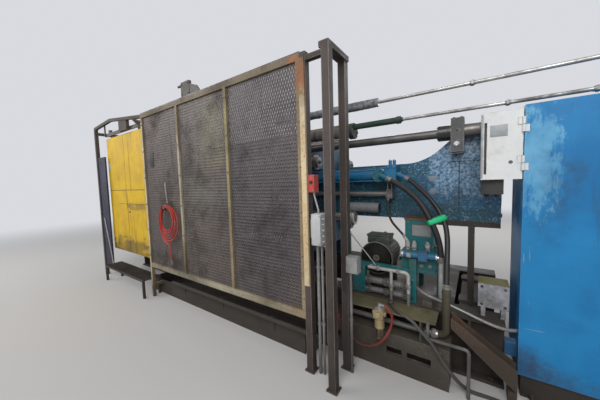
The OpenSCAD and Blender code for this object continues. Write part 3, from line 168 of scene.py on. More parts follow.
class Effects:
    """The effect groups, each built once."""

    def __init__(self) -> None:
        """Builds every group."""
        self.wear = self._edge_wear()
        self.grime = self._grime()
        self.runs = self._runs()
        self.scratch = self._scratches()
        self.speckle = self._speckle()
        self.zone = self._zone()
        self.blotch = self._blotch()
        self.diamond = self._diamond()

    def _zone(self) -> bpy.types.NodeTree:
        """Mask of a box in the machine's frame."""
        sides = {"Low X": -9.0, "High X": 9.0, "Low Y": -9.0, "High Y": 9.0, "Low Z": -9.0, "High Z": 9.0}
        group = EffectGroup("zone", sides, ("Mask",))
        c = group.canvas
        split = c.add("ShaderNodeSeparateXYZ")
        c.put(split.inputs[0], group.given["Vector"])
        mask = 1.0
        for axis in "XYZ":
            above = c.math("GREATER_THAN", split.outputs[axis], group.given["Low " + axis])
            below = c.math("LESS_THAN", split.outputs[axis], group.given["High " + axis])
            mask = c.math("MULTIPLY", mask, c.math("MULTIPLY", above, below))
        c.put(group.result["Mask"], mask)
        return group.tree

    def _diamond(self) -> bpy.types.NodeTree:
        """Masks of the painted highlight on the strands' lips and the painted shade in the openings of
        expanded metal, by its cell coordinates.
        """
        group = EffectGroup("diamond", {"Glint": 0.2, "Hole Shade": 0.3}, ("Glint", "Hole Shade"))
        c = group.canvas
        split = c.add("ShaderNodeSeparateXYZ")
        c.put(split.inputs[0], group.given["Vector"])
        far = []
        for operation in ("ADD", "SUBTRACT"):
            both = c.math(operation, split.outputs["X"], split.outputs["Y"])
            part = c.math("FRACT", c.math("ADD", both, 40.0))
            far.append(c.math("ABSOLUTE", c.math("SUBTRACT", part, 0.5)))
        near = c.math("MINIMUM", far[0], far[1])
        for label in ("Glint", "Hole Shade"):
            low = c.math("SUBTRACT", group.given[label], 0.05)
            c.put(group.result[label], c.span(near, low, group.given[label]))
        return group.tree

    def _blotch(self) -> bpy.types.NodeTree:
        """Mask of a soft ragged patch of radius one round the origin."""
        group = EffectGroup("blotch", {"Ragged": 0.8}, ("Mask",))
        c = group.canvas
        length = c.add("ShaderNodeVectorMath", operation="LENGTH")
        c.put(length.inputs[0], group.given["Vector"])
        rough = c.math("SUBTRACT", c.noise(group.given["Vector"], 3.2, 7.0, 0.68), 0.5)
        push = c.math("MULTIPLY", rough, c.math("MULTIPLY", 2.4, group.given["Ragged"]))
        edge = c.math("ADD", length.outputs["Value"], push)
        c.put(group.result["Mask"], c.math("SUBTRACT", 1.0, c.span(edge, 0.55, 1.0)))
        return group.tree

    def _edge_wear(self) -> bpy.types.NodeTree:
        """Mask of the convex edges, broken up by noise."""
        group = EffectGroup("edge_wear", {"Width": 0.006, "Amount": 0.5, "Scale": 20.0}, ("Mask",))
        c = group.canvas
        bevel = c.add("ShaderNodeBevel", samples=4)
        c.put(bevel.inputs["Radius"], group.given["Width"])
        geometry = c.add("ShaderNodeNewGeometry")
        dot = c.add("ShaderNodeVectorMath", operation="DOT_PRODUCT")
        c.put(dot.inputs[0], bevel.outputs["Normal"])
        c.put(dot.inputs[1], geometry.outputs["Normal"])
        edge = c.span(dot.outputs["Value"], 0.995, 0.85)
        spots = c.noise(group.given["Vector"], group.given["Scale"], 6.0, 0.65)
        level = c.math("SUBTRACT", 0.85, c.math("MULTIPLY", group.given["Amount"], 0.6))
        chipped = c.span(spots, c.math("SUBTRACT", level, 0.14), level)
        c.put(group.result["Mask"], c.math("MULTIPLY", edge, chipped))
        return group.tree

    def _grime(self) -> bpy.types.NodeTree:
        """Patchy dirt, thicker near the floor."""
        group = EffectGroup("grime", {"Amount": 0.5, "Scale": 2.5, "Height": 0.5}, ("Mask",))
        c = group.canvas
        patches = c.noise(group.given["Vector"], group.given["Scale"], 7.0, 0.62)
        fine = c.noise(group.given["Vector"], c.math("MULTIPLY", group.given["Scale"], 14.0), 5.0, 0.6)
        split = c.add("ShaderNodeSeparateXYZ")
        c.put(split.inputs[0], group.given["Vector"])
        low = c.math("SUBTRACT", 1.0, c.span(split.outputs["Z"], 0.0, group.given["Height"]))
        lift = c.math("ADD", c.math("MULTIPLY", low, 0.22), c.math("MULTIPLY", group.given["Amount"], 0.35))
        total = c.math("ADD", c.math("ADD", patches, lift), c.math("MULTIPLY", fine, 0.16))
        c.put(group.result["Mask"], c.span(total, 0.62, 0.98))
        return group.tree

    def _runs(self) -> bpy.types.NodeTree:
        """Dirt that ran down upright faces."""
        group = EffectGroup("runs", {"Amount": 0.5, "Scale": 12.0}, ("Mask",))
        c = group.canvas
        tall = c.stretch(group.given["Vector"], (1.0, 1.0, 0.07))
        lines = c.noise(tall, group.given["Scale"], 5.0, 0.6)
        patch = c.noise(group.given["Vector"], 1.6, 3.0, 0.5)
        level = c.math("SUBTRACT", 0.78, c.math("MULTIPLY", group.given["Amount"], 0.3))
        streaks = c.span(lines, level, c.math("ADD", level, 0.16))
        c.put(group.result["Mask"], c.math("MULTIPLY", streaks, patch))
        return group.tree

    def _scratches(self) -> bpy.types.NodeTree:
        """Thin bright lines in two directions."""
        group = EffectGroup("scratches", {"Amount": 0.5, "Scale": 3.0}, ("Mask",))
        c = group.canvas
        masks = []
        for turn, squeeze in (((0.5, 0.35, 0.2), (1.0, 26.0, 26.0)), ((-0.8, 0.5, -0.4), (26.0, 26.0, 1.2))):
            lines = c.noise(c.stretch(group.given["Vector"], squeeze, turn), group.given["Scale"], 2.0, 0.5)
            masks.append(c.span(lines, 0.7, 0.74))
        both = c.math("MAXIMUM", masks[0], masks[1])
        patch = c.span(c.noise(group.given["Vector"], 2.2, 3.0, 0.6), 0.45, 0.65)
        seen = c.math("MULTIPLY", both, patch)
        c.put(group.result["Mask"], c.math("MULTIPLY", seen, group.given["Amount"], True))
        return group.tree

    def _speckle(self) -> bpy.types.NodeTree:
        """Small chips and splashes."""
        group = EffectGroup("speckle", {"Amount": 0.5, "Scale": 60.0}, ("Mask",))
        c = group.canvas
        dots = c.noise(group.given["Vector"], group.given["Scale"], 3.0, 0.7)
        patch = c.noise(group.given["Vector"], 3.1, 4.0, 0.6)
        level = c.math("SUBTRACT", 0.8, c.math("MULTIPLY", group.given["Amount"], 0.22))
        mask = c.span(dots, level, c.math("ADD", level, 0.05))
        c.put(group.result["Mask"], c.math("MULTIPLY", mask, c.span(patch, 0.35, 0.6)))
        return group.tree


FAR = 9.0
DIRT_COVER = 0.85
DIRT_ROUGHNESS = 0.82
TONE_ROUGHNESS = 0.12
SPECKLE_COVER = 0.7
# Strength of the painted highlight on the strand edges of expanded metal.
GLINT_COVER = 0.85
BUMP_DEPTH = 0.004


@dataclass(frozen=True)
class Zone:
    """A box in the machine's frame in which a finish has other colours."""

    base: Colour
    tone: Colour
    x: tuple[float, float] = (-FAR, FAR)
    y: tuple[float, float] = (-FAR, FAR)
    z: tuple[float, float] = (-FAR, FAR)

    def mask(self, canvas: NodeCanvas, place: object, effects: Effects) -> bpy.types.NodeSocket:
        """Adds the mask of this box to a material."""
        sides = {"low_x": self.x[0], "high_x": self.x[1], "low_y": self.y[0], "high_y": self.y[1],
                 "low_z": self.z[0], "high_z": self.z[1]}
        return canvas.group(effects.zone, vector=place, **sides).outputs["Mask"]


@dataclass(frozen=True)
class Blotch:
    """A soft patch in the machine's frame in which a finish has other colours."""

    base: Colour
    tone: Colour
    at: Point
    size: Point
    ragged: float = 0.8

    def mask(self, canvas: NodeCanvas, place: object, effects: Effects) -> bpy.types.NodeSocket:
        """Adds the mask of this patch to a material."""
        node = canvas.add("ShaderNodeMapping", vector_type="TEXTURE")
        canvas.put(node.inputs["Vector"], place)
        node.inputs["Location"].default_value = self.at
        node.inputs["Scale"].default_value = self.size
        return canvas.group(effects.blotch, vector=node.outputs["Vector"], ragged=self.ragged).outputs["Mask"]


@dataclass(frozen=True)
class Finish:
    """A worn, dirty metal or rubber surface.

    Colours are linear red, green and blue. The slot is the record's material
    slot, and zones give parts of the surface other colours.
    """

    name: str
    slot: str
    base: Colour
    tone: Colour
    zones: tuple[Zone | Blotch, ...] = ()
    dirt: Colour = (0.035, 0.028, 0.022)
    bare: Colour = (0.2, 0.17, 0.15)
    roughness: float = 0.45
    metallic: float = 0.0
    bare_metal: float = 0.6
    grime: float = 0.5
    runs: float = 0.4
    wear: float = 0.5
    wear_width: float = 0.006
    scratches: float = 0.3
    speckle: float = 0.3
    tone_scale: float = 5.0
    bump: float = 0.12
    bump_scale: float = 60.0
    dirt_height: float = 0.6
    # Colour of the painted highlight on the strand edges of expanded metal; the openings then get painted
    # shade in the dirt colour.
    glint_colour: Colour | None = None
    shine: float = 0.35

    def build(self, effects: Effects) -> bpy.types.Material:
        """Makes the material.

        Args:
            effects: The shared effect groups.

        Returns:
            The material, ready to be put on a piece.
        """
        material = bpy.data.materials.new(self.name)
        material.use_nodes = True
        material.node_tree.nodes.clear()
        c = NodeCanvas(material.node_tree)
        place = c.add("ShaderNodeTexCoord").outputs["Object"]
        tone = c.span(c.noise(place, self.tone_scale, 5.0, 0.6), 0.35, 0.65)
        colour = c.mix(tone, self.base, self.tone)
        for zone in self.zones:
            colour = c.mix(zone.mask(c, place, effects), colour, c.mix(tone, zone.base, zone.tone))
        # Expanded metal: a painted highlight on the strand edges, and painted shade in the dirt colour round
        # the openings.
        if self.glint_colour:
            cells = c.add("ShaderNodeUVMap", uv_map="cells").outputs["UV"]
            diamond = c.group(effects.diamond, vector=cells).outputs
            colour = c.mix(c.math("MULTIPLY", diamond["Glint"], GLINT_COVER), colour, self.glint_colour)
            colour = c.mix(diamond["Hole Shade"], colour, self.dirt)
        grime = c.group(effects.grime, vector=place, amount=self.grime, height=self.dirt_height)
        runs = c.group(effects.runs, vector=place, amount=self.runs).outputs["Mask"]
        speckle = c.group(effects.speckle, vector=place, amount=self.speckle).outputs["Mask"]
        scratch = c.group(effects.scratch, vector=place, amount=self.scratches).outputs["Mask"]
        wear = c.group(effects.wear, vector=place, amount=self.wear, width=self.wear_width).outputs["Mask"]
        worn = c.math("MAXIMUM", wear, c.math("MAXIMUM", scratch, c.math("MULTIPLY", speckle, SPECKLE_COVER)))
        dirty = c.math("MAXIMUM", grime.outputs["Mask"], runs)
        colour = c.mix(worn, colour, self.bare)
        colour = c.mix(c.math("MULTIPLY", dirty, DIRT_COVER), colour, self.dirt)
        clean_rough = c.blend(tone, self.roughness, self.roughness + TONE_ROUGHNESS)
        rough = c.blend(dirty, clean_rough, DIRT_ROUGHNESS)
        fine = c.noise(place, self.bump_scale, 6.0, 0.6)
        raised = c.math("ADD", fine, c.math("MULTIPLY", dirty, 0.35))
        height = c.math("SUBTRACT", raised, c.math("MULTIPLY", worn, 0.4))
        bump = c.add("ShaderNodeBump")
        bump.inputs["Strength"].default_value = self.bump
        bump.inputs["Distance"].default_value = BUMP_DEPTH
        c.put(bump.inputs["Height"], height)
        shader = c.add("ShaderNodeBsdfPrincipled")
        c.put(shader.inputs["Base Color"], colour)
        c.put(shader.inputs["Roughness"], rough)
        shader.inputs["Specular IOR Level"].default_value = self.shine
        c.put(shader.inputs["Normal"], bump.outputs["Normal"])
        if self.metallic == 0.0 and self.bare_metal > 0.0:
            clean = c.math("SUBTRACT", 1.0, dirty, True)
            c.put(shader.inputs["Metallic"],
                c.math("MULTIPLY", c.math("MULTIPLY", worn, clean), self.bare_metal))
        elif self.metallic > 0.0:
            c.put(shader.inputs["Metallic"], c.blend(dirty, self.metallic, 0.1))
        output = c.add("ShaderNodeOutputMaterial")
        c.put(output.inputs["Surface"], shader.outputs["BSDF"])
        return material


TEAL_DARK: Colour = (0.006, 0.11, 0.12)
TEAL_LIGHT: Colour = (0.02, 0.19, 0.19)
SILVER_DARK: Colour = (0.3, 0.3, 0.29)
SILVER_LIGHT: Colour = (0.52, 0.51, 0.49)
RUST_DARK: Colour = (0.11, 0.035, 0.014)
RUST_LIGHT: Colour = (0.23, 0.085, 0.03)
OLIVE_DARK: Colour = (0.065, 0.058, 0.032)
OLIVE_LIGHT: Colour = (0.12, 0.105, 0.062)
BOTTLE_GREEN: Colour = (0.014, 0.042, 0.03)
MOSS_GREEN: Colour = (0.035, 0.075, 0.055)


class Coat(Enum):
    """The finishes of the machine, by what they are on."""

    BED = Finish("oily_bed_steel", "oily_steel", (0.04, 0.034, 0.03), (0.088, 0.077, 0.067), grime=0.9,
        bare=(0.4, 0.37, 0.33), speckle=0.9, roughness=0.5)
    STEP = Finish("chipped_step_steel", "oily_steel", (0.062, 0.055, 0.045), (0.13, 0.115, 0.09), grime=0.55,
        speckle=1.0, wear=1.0, bare=(0.3, 0.27, 0.19), roughness=0.5, zones=(Zone((0.12, 0.105, 0.05),
        (0.23, 0.2, 0.1), z=(0.47, 0.495)),))
    MACHINE = Finish("machine_blue_paint", "machine_blue", (0.018, 0.085, 0.15), (0.04, 0.14, 0.215),
        grime=0.35, runs=0.5, wear=0.8, speckle=0.7, bare=(0.2, 0.24, 0.27))
    # The three pale blotches high on the shot frame are painted highlights, and the two dark blotches are
    # painted shade under the intensifier and along the frame's bottom; the thin dark zones are weld seams.
    HEAD = Finish("sponged_blue_paint", "machine_blue", (0.012, 0.07, 0.145), (0.045, 0.155, 0.26),
        tone_scale=42.0, grime=0.2, runs=0.7, speckle=1.0, bare=(0.36, 0.43, 0.5), bare_metal=0.1,
        roughness=0.3, wear=0.15, zones=(Blotch((0.008, 0.06, 0.095), (0.018, 0.095, 0.135),
        (0.7, -0.33, 1.45), (0.85, 1.0, 0.7)), Blotch((0.01, 0.055, 0.085), (0.02, 0.09, 0.125),
        (1.6, -0.33, 1.22), (0.6, 1.0, 0.16)), Blotch((0.03, 0.11, 0.21), (0.43, 0.54, 0.65),
        (1.66, -0.33, 1.88), (0.27, 1.0, 0.2), 1.0), Blotch((0.022, 0.095, 0.19), (0.26, 0.39, 0.52),
        (1.55, -0.33, 1.68), (0.18, 1.0, 0.28), 1.0), Blotch((0.022, 0.09, 0.18), (0.22, 0.34, 0.46),
        (1.8, -0.33, 1.6), (0.24, 1.0, 0.2), 1.0), Zone((0.006, 0.024, 0.04), (0.01, 0.036, 0.055),
        x=(1.655, 1.665), y=(-0.34, -0.3), z=(1.2, 1.747)), Zone((0.006, 0.024, 0.04), (0.01, 0.036, 0.055),
        x=(1.56, 1.97), y=(-0.34, -0.3), z=(1.7435, 1.7505))))
    LIGHT_BLUE = Finish("light_blue_paint", "light_blue", (0.006, 0.105, 0.235), (0.022, 0.175, 0.33),
        grime=0.3, roughness=0.3, zones=(Zone((0.008, 0.11, 0.16), (0.022, 0.17, 0.225), y=(-0.6, -0.496)),))
    TEAL = Finish("teal_paint", "teal_paint", TEAL_DARK, TEAL_LIGHT, grime=0.4, roughness=0.38, wear=0.7)
    TOWER = Finish("valve_block_paint", "teal_paint", TEAL_DARK, TEAL_LIGHT, grime=0.35, roughness=0.38,
        wear=0.7, zones=(Zone(RUST_DARK, RUST_LIGHT, z=(1.2245, 2.0)), Zone((0.22, 0.235, 0.225),
        (0.34, 0.35, 0.335), x=(1.302, 1.46), y=(-0.503, -0.49), z=(1.078, 1.186)), Zone((0.01, 0.11, 0.26),
        (0.03, 0.18, 0.36), y=(-0.71, -0.601)), Zone(SILVER_DARK, SILVER_LIGHT, y=(-0.6, -0.528),
        z=(0.961, 1.1))))
    MOTOR = Finish("oily_motor_green", "motor_green", (0.045, 0.055, 0.048), (0.095, 0.105, 0.085),
        grime=0.6, speckle=0.6, wear=0.9, roughness=0.4, bare=(0.3, 0.29, 0.22))
    STEEL = Finish("polished_rod_steel", "bare_steel", (0.33, 0.32, 0.31), (0.2, 0.19, 0.185), metallic=0.85,
        roughness=0.28, grime=0.35, runs=0.1, wear=0.2, bare=(0.5, 0.5, 0.5))
    STRAIN = Finish("dark_strain_rod_steel", "bare_steel", (0.11, 0.105, 0.1), (0.19, 0.18, 0.17),
        metallic=0.8, roughness=0.25, grime=0.3, runs=0.0, wear=0.3, bare=(0.5, 0.5, 0.5),
        zones=(Zone((0.05, 0.05, 0.052), (0.085, 0.082, 0.08), x=(1.5, 1.602)),))
    LINES = Finish("thin_line_steel", "bare_steel", (0.48, 0.47, 0.45), (0.32, 0.305, 0.285), metallic=0.75,
        roughness=0.24, grime=0.3, runs=0.1, wear=0.2, bare=(0.5, 0.5, 0.5), zones=(Zone((0.16, 0.18, 0.195),
        (0.27, 0.29, 0.3), x=(-0.3, 0.862), z=(2.2, 2.5)),))
    UNIT_PIPES = Finish("pump_unit_pipes", "bare_steel", (0.19, 0.185, 0.175), (0.29, 0.28, 0.265),
        grime=0.55, roughness=0.4, metallic=0.25, zones=(Zone((0.48, 0.48, 0.45), (0.6, 0.6, 0.57),
        y=(-0.73, -0.66), z=(0.6, 0.9)), Zone(OLIVE_DARK, OLIVE_LIGHT, x=(1.44, 1.66), y=(-0.83, -0.75)),
        Zone((0.11, 0.11, 0.1), (0.17, 0.165, 0.15), z=(0.2, 0.46), y=(-0.9, -0.83))))
    CAST = Finish("grey_casting", "cast_grey", (0.16, 0.15, 0.15), (0.23, 0.22, 0.215), roughness=0.6,
        grime=0.5, bump=0.35)
    COVER = Finish("grey_rod_cover", "bare_steel", (0.19, 0.2, 0.205), (0.3, 0.305, 0.305), roughness=0.4,
        grime=0.5, speckle=0.6)
    # The small near-black box zone round the bolt hole at 1.649, -0.467, 1.997 paints the shade inside the
    # hole.
    CLAMP = Finish("dark_clamp_casting", "cast_grey", (0.075, 0.075, 0.08), (0.13, 0.128, 0.13),
        roughness=0.45, grime=0.35, wear=1.0, bare=(0.34, 0.33, 0.32), zones=(Zone((0.008, 0.008, 0.009),
        (0.014, 0.013, 0.013), z=(1.9205, 1.926)), Zone((0.02, 0.02, 0.021), (0.035, 0.033, 0.032),
        z=(1.805, 1.8255)), Zone((0.006, 0.006, 0.006), (0.012, 0.011, 0.011), x=(1.633, 1.665),
        y=(-0.466, -0.44), z=(1.981, 2.013))))
    BLOCK = Finish("speckled_block_grey", "cast_grey", (0.23, 0.235, 0.25), (0.36, 0.365, 0.385),
        roughness=0.6, grime=0.35, speckle=1.0, tone_scale=30.0, bare=(0.05, 0.05, 0.05), bare_metal=0.0)
    # The pale blotches at mid-height on the middle and right stiles are painted highlights.
    TAN = Finish("chipped_tan_paint", "tan_paint", (0.18, 0.135, 0.08), (0.3, 0.235, 0.145),
        dirt=(0.055, 0.042, 0.028), bare=(0.16, 0.07, 0.03), bare_metal=0.1, grime=0.5, speckle=1.0,
        wear=0.9, roughness=0.6, zones=(Zone((0.12, 0.095, 0.065), (0.21, 0.17, 0.115), z=(2.56, 2.8)),
        Zone((0.03, 0.028, 0.028), (0.06, 0.052, 0.045), x=(-4.0, -2.109)), Zone((0.54, 0.4, 0.22),
        (0.68, 0.56, 0.36), x=(0.631, 0.683), y=(-1.33, -1.309)), Blotch((0.26, 0.1, 0.045),
        (0.43, 0.24, 0.12), (0.655, -1.32, 2.5), (0.2, 0.3, 0.26)), Zone((0.48, 0.43, 0.29),
        (0.6, 0.54, 0.38), x=(-2.109, -2.067), z=(0.0, 2.5)), Blotch((0.36, 0.32, 0.23), (0.52, 0.48, 0.37),
        (-1.187, -1.3, 1.55), (0.1, 0.4, 0.75)), Blotch((0.27, 0.23, 0.11), (0.4, 0.35, 0.18),
        (-0.291, -1.3, 1.95), (0.1, 0.4, 0.7)), Blotch((0.3, 0.27, 0.19), (0.42, 0.385, 0.29),
        (-0.9, -1.3, 0.478), (1.6, 0.4, 0.06))))
    BOTTLE = Finish("mottled_bottle_paint", "tan_paint", (0.17, 0.165, 0.15), (0.33, 0.32, 0.295), grime=0.6,
        roughness=0.5, zones=(Zone(BOTTLE_GREEN, MOSS_GREEN, x=(0.6595, 1.3)),))
    # The lip colour paints a highlight on the strand edges, and the dark dirt colour paints shade round the
    # openings as well as the grime.
    MESH = Finish("dirty_mesh_steel", "mesh_steel", (0.08, 0.066, 0.058), (0.14, 0.112, 0.092),
        roughness=0.5, metallic=0.35, grime=0.35, runs=0.7, speckle=0.6, wear=0.0, tone_scale=2.6,
        bare=(0.34, 0.32, 0.29), dirt=(0.012, 0.01, 0.009), glint_colour=(0.33, 0.29, 0.28),
        zones=(Blotch((0.11, 0.098, 0.058), (0.17, 0.15, 0.09), (-0.5, -1.28, 2.15), (0.34, 0.5, 0.45), 1.3),
        Blotch((0.105, 0.094, 0.078), (0.16, 0.145, 0.12), (-0.75, -1.28, 1.5), (0.6, 0.5, 0.22), 1.3),
        Blotch((0.05, 0.044, 0.05), (0.085, 0.074, 0.082), (0.15, -1.28, 1.6), (0.7, 0.5, 1.6), 0.5)))
    GRATE = Finish("oily_wire_grate", "mesh_steel", (0.07, 0.06, 0.052), (0.12, 0.1, 0.084), roughness=0.5,
        metallic=0.35, grime=0.45, runs=0.5, wear=0.0, bare=(0.34, 0.32, 0.29))
    # Full edge wear in a wide band paints the bright corners of the square tubes: partly chipped paint,
    # partly a painted highlight on the rounded corners.
    POST = Finish("rusty_post_primer", "post_brown", (0.04, 0.031, 0.027), (0.08, 0.06, 0.053),
        bare=(0.34, 0.31, 0.28), grime=0.35, wear=1.0, wear_width=0.008, speckle=0.5, roughness=0.45)
    CHUTE = Finish("rusty_chute_steel", "post_brown", (0.075, 0.05, 0.036), (0.14, 0.095, 0.062),
        bare=(0.26, 0.13, 0.06), bare_metal=0.1, grime=0.55, wear=1.0, wear_width=0.01, roughness=0.55)
    YELLOW = Finish("worn_yellow_paint", "yellow_paint", (0.5, 0.3, 0.004), (0.62, 0.395, 0.006),
        dirt=(0.11, 0.075, 0.012), bare=(0.07, 0.05, 0.03), grime=0.1, runs=0.85, speckle=0.55, wear=0.6,
        dirt_height=1.15, bare_metal=0.2, roughness=0.5, zones=(Blotch((0.12, 0.08, 0.02),
        (0.42, 0.27, 0.01), (-2.9, -1.22, 0.58), (0.95, 1.0, 0.24), 1.3), Blotch((0.2, 0.13, 0.018),
        (0.46, 0.29, 0.01), (-2.6, -1.22, 1.3), (0.45, 1.0, 0.07), 1.0), Zone((0.1, 0.07, 0.014),
        (0.26, 0.17, 0.014), z=(1.559, 1.569)), Zone((0.05, 0.035, 0.012), (0.2, 0.13, 0.012),
        x=(-3.2, -2.2), z=(1.333, 1.341))))
    NAVY = Finish("dusty_navy_paint", "navy_paint", (0.014, 0.016, 0.042), (0.028, 0.031, 0.07), grime=0.4)
    # The pale blotch near the cabinet's left edge is a painted highlight.
    CABINET = Finish("scratched_cabinet_blue", "cabinet_blue", (0.006, 0.15, 0.37), (0.012, 0.205, 0.46),
        zones=(Blotch((0.04, 0.23, 0.45), (0.15, 0.4, 0.6), (2.11, -0.7, 1.7), (0.15, 1.0, 0.4), 1.2),),
        grime=0.12, runs=0.55, scratches=0.9, speckle=0.35, bare=(0.16, 0.28, 0.4), bare_metal=0.1,
        roughness=0.42, tone_scale=1.8, wear=0.5)
    BLACK = Finish("dusty_black_paint", "black_paint", (0.012, 0.012, 0.013), (0.03, 0.029, 0.028),
        grime=0.4)
    WHITE = Finish("white_box_paint", "white_paint", (0.62, 0.64, 0.64), (0.7, 0.71, 0.7),
        dirt=(0.2, 0.17, 0.13), grime=0.05, runs=0.35, speckle=0.2, scratches=0.15, roughness=0.4,
        zones=(Zone((0.02, 0.02, 0.022), (0.04, 0.038, 0.036), z=(1.4, 1.5795)), Zone((0.03, 0.03, 0.032),
        (0.06, 0.058, 0.055), x=(1.8285, 1.8435), y=(-0.6985, -0.5), z=(1.6205, 1.9895))))
    PLATE = Finish("bare_plate_grey", "white_paint", (0.3, 0.33, 0.35), (0.38, 0.4, 0.41), grime=0.15,
        runs=0.2, roughness=0.35)
    BOX_GREY = Finish("dusty_box_grey", "box_grey", (0.42, 0.43, 0.43), (0.52, 0.53, 0.52),
        dirt=(0.06, 0.05, 0.04), grime=0.35, roughness=0.5, zones=(Zone((0.36, 0.035, 0.03),
        (0.5, 0.09, 0.07), z=(1.515, 1.7)), Zone((0.05, 0.046, 0.04), (0.105, 0.097, 0.085), z=(2.6, 3.0)),
        Zone((0.3, 0.31, 0.31), (0.4, 0.405, 0.4), z=(0.8, 1.0))))
    SWITCH_RED = Finish("faded_switch_red", "box_grey", (0.4, 0.035, 0.03), (0.52, 0.08, 0.06), grime=0.3,
        roughness=0.5)
    SILVER = Finish("plated_fitting_steel", "bare_steel", (0.23, 0.228, 0.22), (0.42, 0.41, 0.395),
        metallic=0.75, roughness=0.33, grime=0.4, runs=0.0, wear=0.2, bare=(0.6, 0.6, 0.58))
    DARK_METAL = Finish("blackened_fastener_steel", "cast_grey", (0.055, 0.053, 0.052), (0.1, 0.096, 0.092),
        metallic=0.6, roughness=0.4, grime=0.4, bare=(0.4, 0.39, 0.37))
    BRASS = Finish("dull_brass", "brass_part", (0.4, 0.31, 0.16), (0.56, 0.46, 0.27), metallic=0.6,
        roughness=0.35, grime=0.4, zones=(Zone((0.085, 0.06, 0.04), (0.14, 0.105, 0.07), x=(1.0, 1.3),
        z=(0.2, 0.384)), Zone(SILVER_DARK, SILVER_LIGHT, z=(0.541, 0.9))))
    RED_HOSE = Finish("red_air_hose", "red_rubber", (0.36, 0.018, 0.013), (0.5, 0.045, 0.03), grime=0.25,
        wear=0.0, bump=0.05, roughness=0.45, bare_metal=0.0, scratches=0.0, speckle=0.1)
    BLACK_HOSE = Finish("black_pressure_hose", "black_rubber", (0.012, 0.012, 0.013), (0.024, 0.023, 0.023),
        grime=0.3, wear=0.0, roughness=0.36, bare_metal=0.0, scratches=0.0, speckle=0.3,
        bare=(0.1, 0.09, 0.08))
    DULL_RED = Finish("dull_red_air_hose", "red_rubber", (0.17, 0.022, 0.018), (0.27, 0.05, 0.04),
        grime=0.35, wear=0.0, bump=0.05, roughness=0.5, bare_metal=0.0, scratches=0.0, speckle=0.2)
    GREY_CABLE = Finish("grey_cable_sheath", "black_rubber", (0.075, 0.072, 0.066), (0.12, 0.115, 0.105),
        grime=0.45, wear=0.0, roughness=0.5, bare_metal=0.0, scratches=0.0, speckle=0.5,
        bare=(0.25, 0.24, 0.21))
    BRIGHT = Finish("bright_plated_steel", "bare_steel", (0.52, 0.51, 0.49), (0.68, 0.67, 0.64),
        metallic=0.9, roughness=0.22, grime=0.15, runs=0.0, wear=0.2, bare=(0.75, 0.75, 0.72))
    OILY_PIPE = Finish("oily_dark_pipe", "bare_steel", (0.1, 0.095, 0.085), (0.18, 0.17, 0.15), metallic=0.4,
        roughness=0.35, grime=0.6, wear=0.8, bare=(0.45, 0.44, 0.4))
    CHIPPED_BLUE = Finish("chipped_bolt_blue", "machine_blue", (0.02, 0.09, 0.17), (0.045, 0.13, 0.21),
        grime=0.35, wear=1.0, speckle=0.8, bare=(0.3, 0.32, 0.34))
    BARE_SPOT = Finish("bare_round_plate", "machine_blue", (0.18, 0.23, 0.26), (0.26, 0.3, 0.32), grime=0.2,
        roughness=0.5, wear=0.4)
    GREEN_LINE = Finish("dark_green_line", "tan_paint", BOTTLE_GREEN, MOSS_GREEN, grime=0.5, roughness=0.4)
    WRAPPING = Finish("lumpy_line_wrapping", "bare_steel", (0.11, 0.125, 0.14), (0.26, 0.28, 0.29),
        grime=0.5, roughness=0.55, speckle=1.0, tone_scale=26.0, bump=0.6, bump_scale=45.0,
        bare=(0.45, 0.46, 0.46), bare_metal=0.2)
    CLIP = Finish("dull_clip_steel", "tan_paint", (0.15, 0.13, 0.09), (0.24, 0.21, 0.15), metallic=0.4,
        roughness=0.45, grime=0.4, bare=(0.4, 0.38, 0.32))
    BOWL = Finish("brown_bowl_guard", "brass_part", (0.09, 0.062, 0.04), (0.15, 0.11, 0.07), metallic=0.5,
        roughness=0.35, grime=0.4, bare=(0.45, 0.36, 0.2))
    OLIVE_PAD = Finish("speckled_olive_pad", "cast_grey", (0.15, 0.13, 0.045), (0.26, 0.225, 0.085),
        grime=0.3, speckle=1.0, roughness=0.7, bare=(0.05, 0.045, 0.03), bare_metal=0.0)
    GREEN_TAPE = Finish("green_tape", "teal_paint", (0.01, 0.42, 0.16), (0.03, 0.52, 0.22), grime=0.1,
        runs=0.0, wear=0.1, scratches=0.0, speckle=0.1, roughness=0.35, bare_metal=0.0)


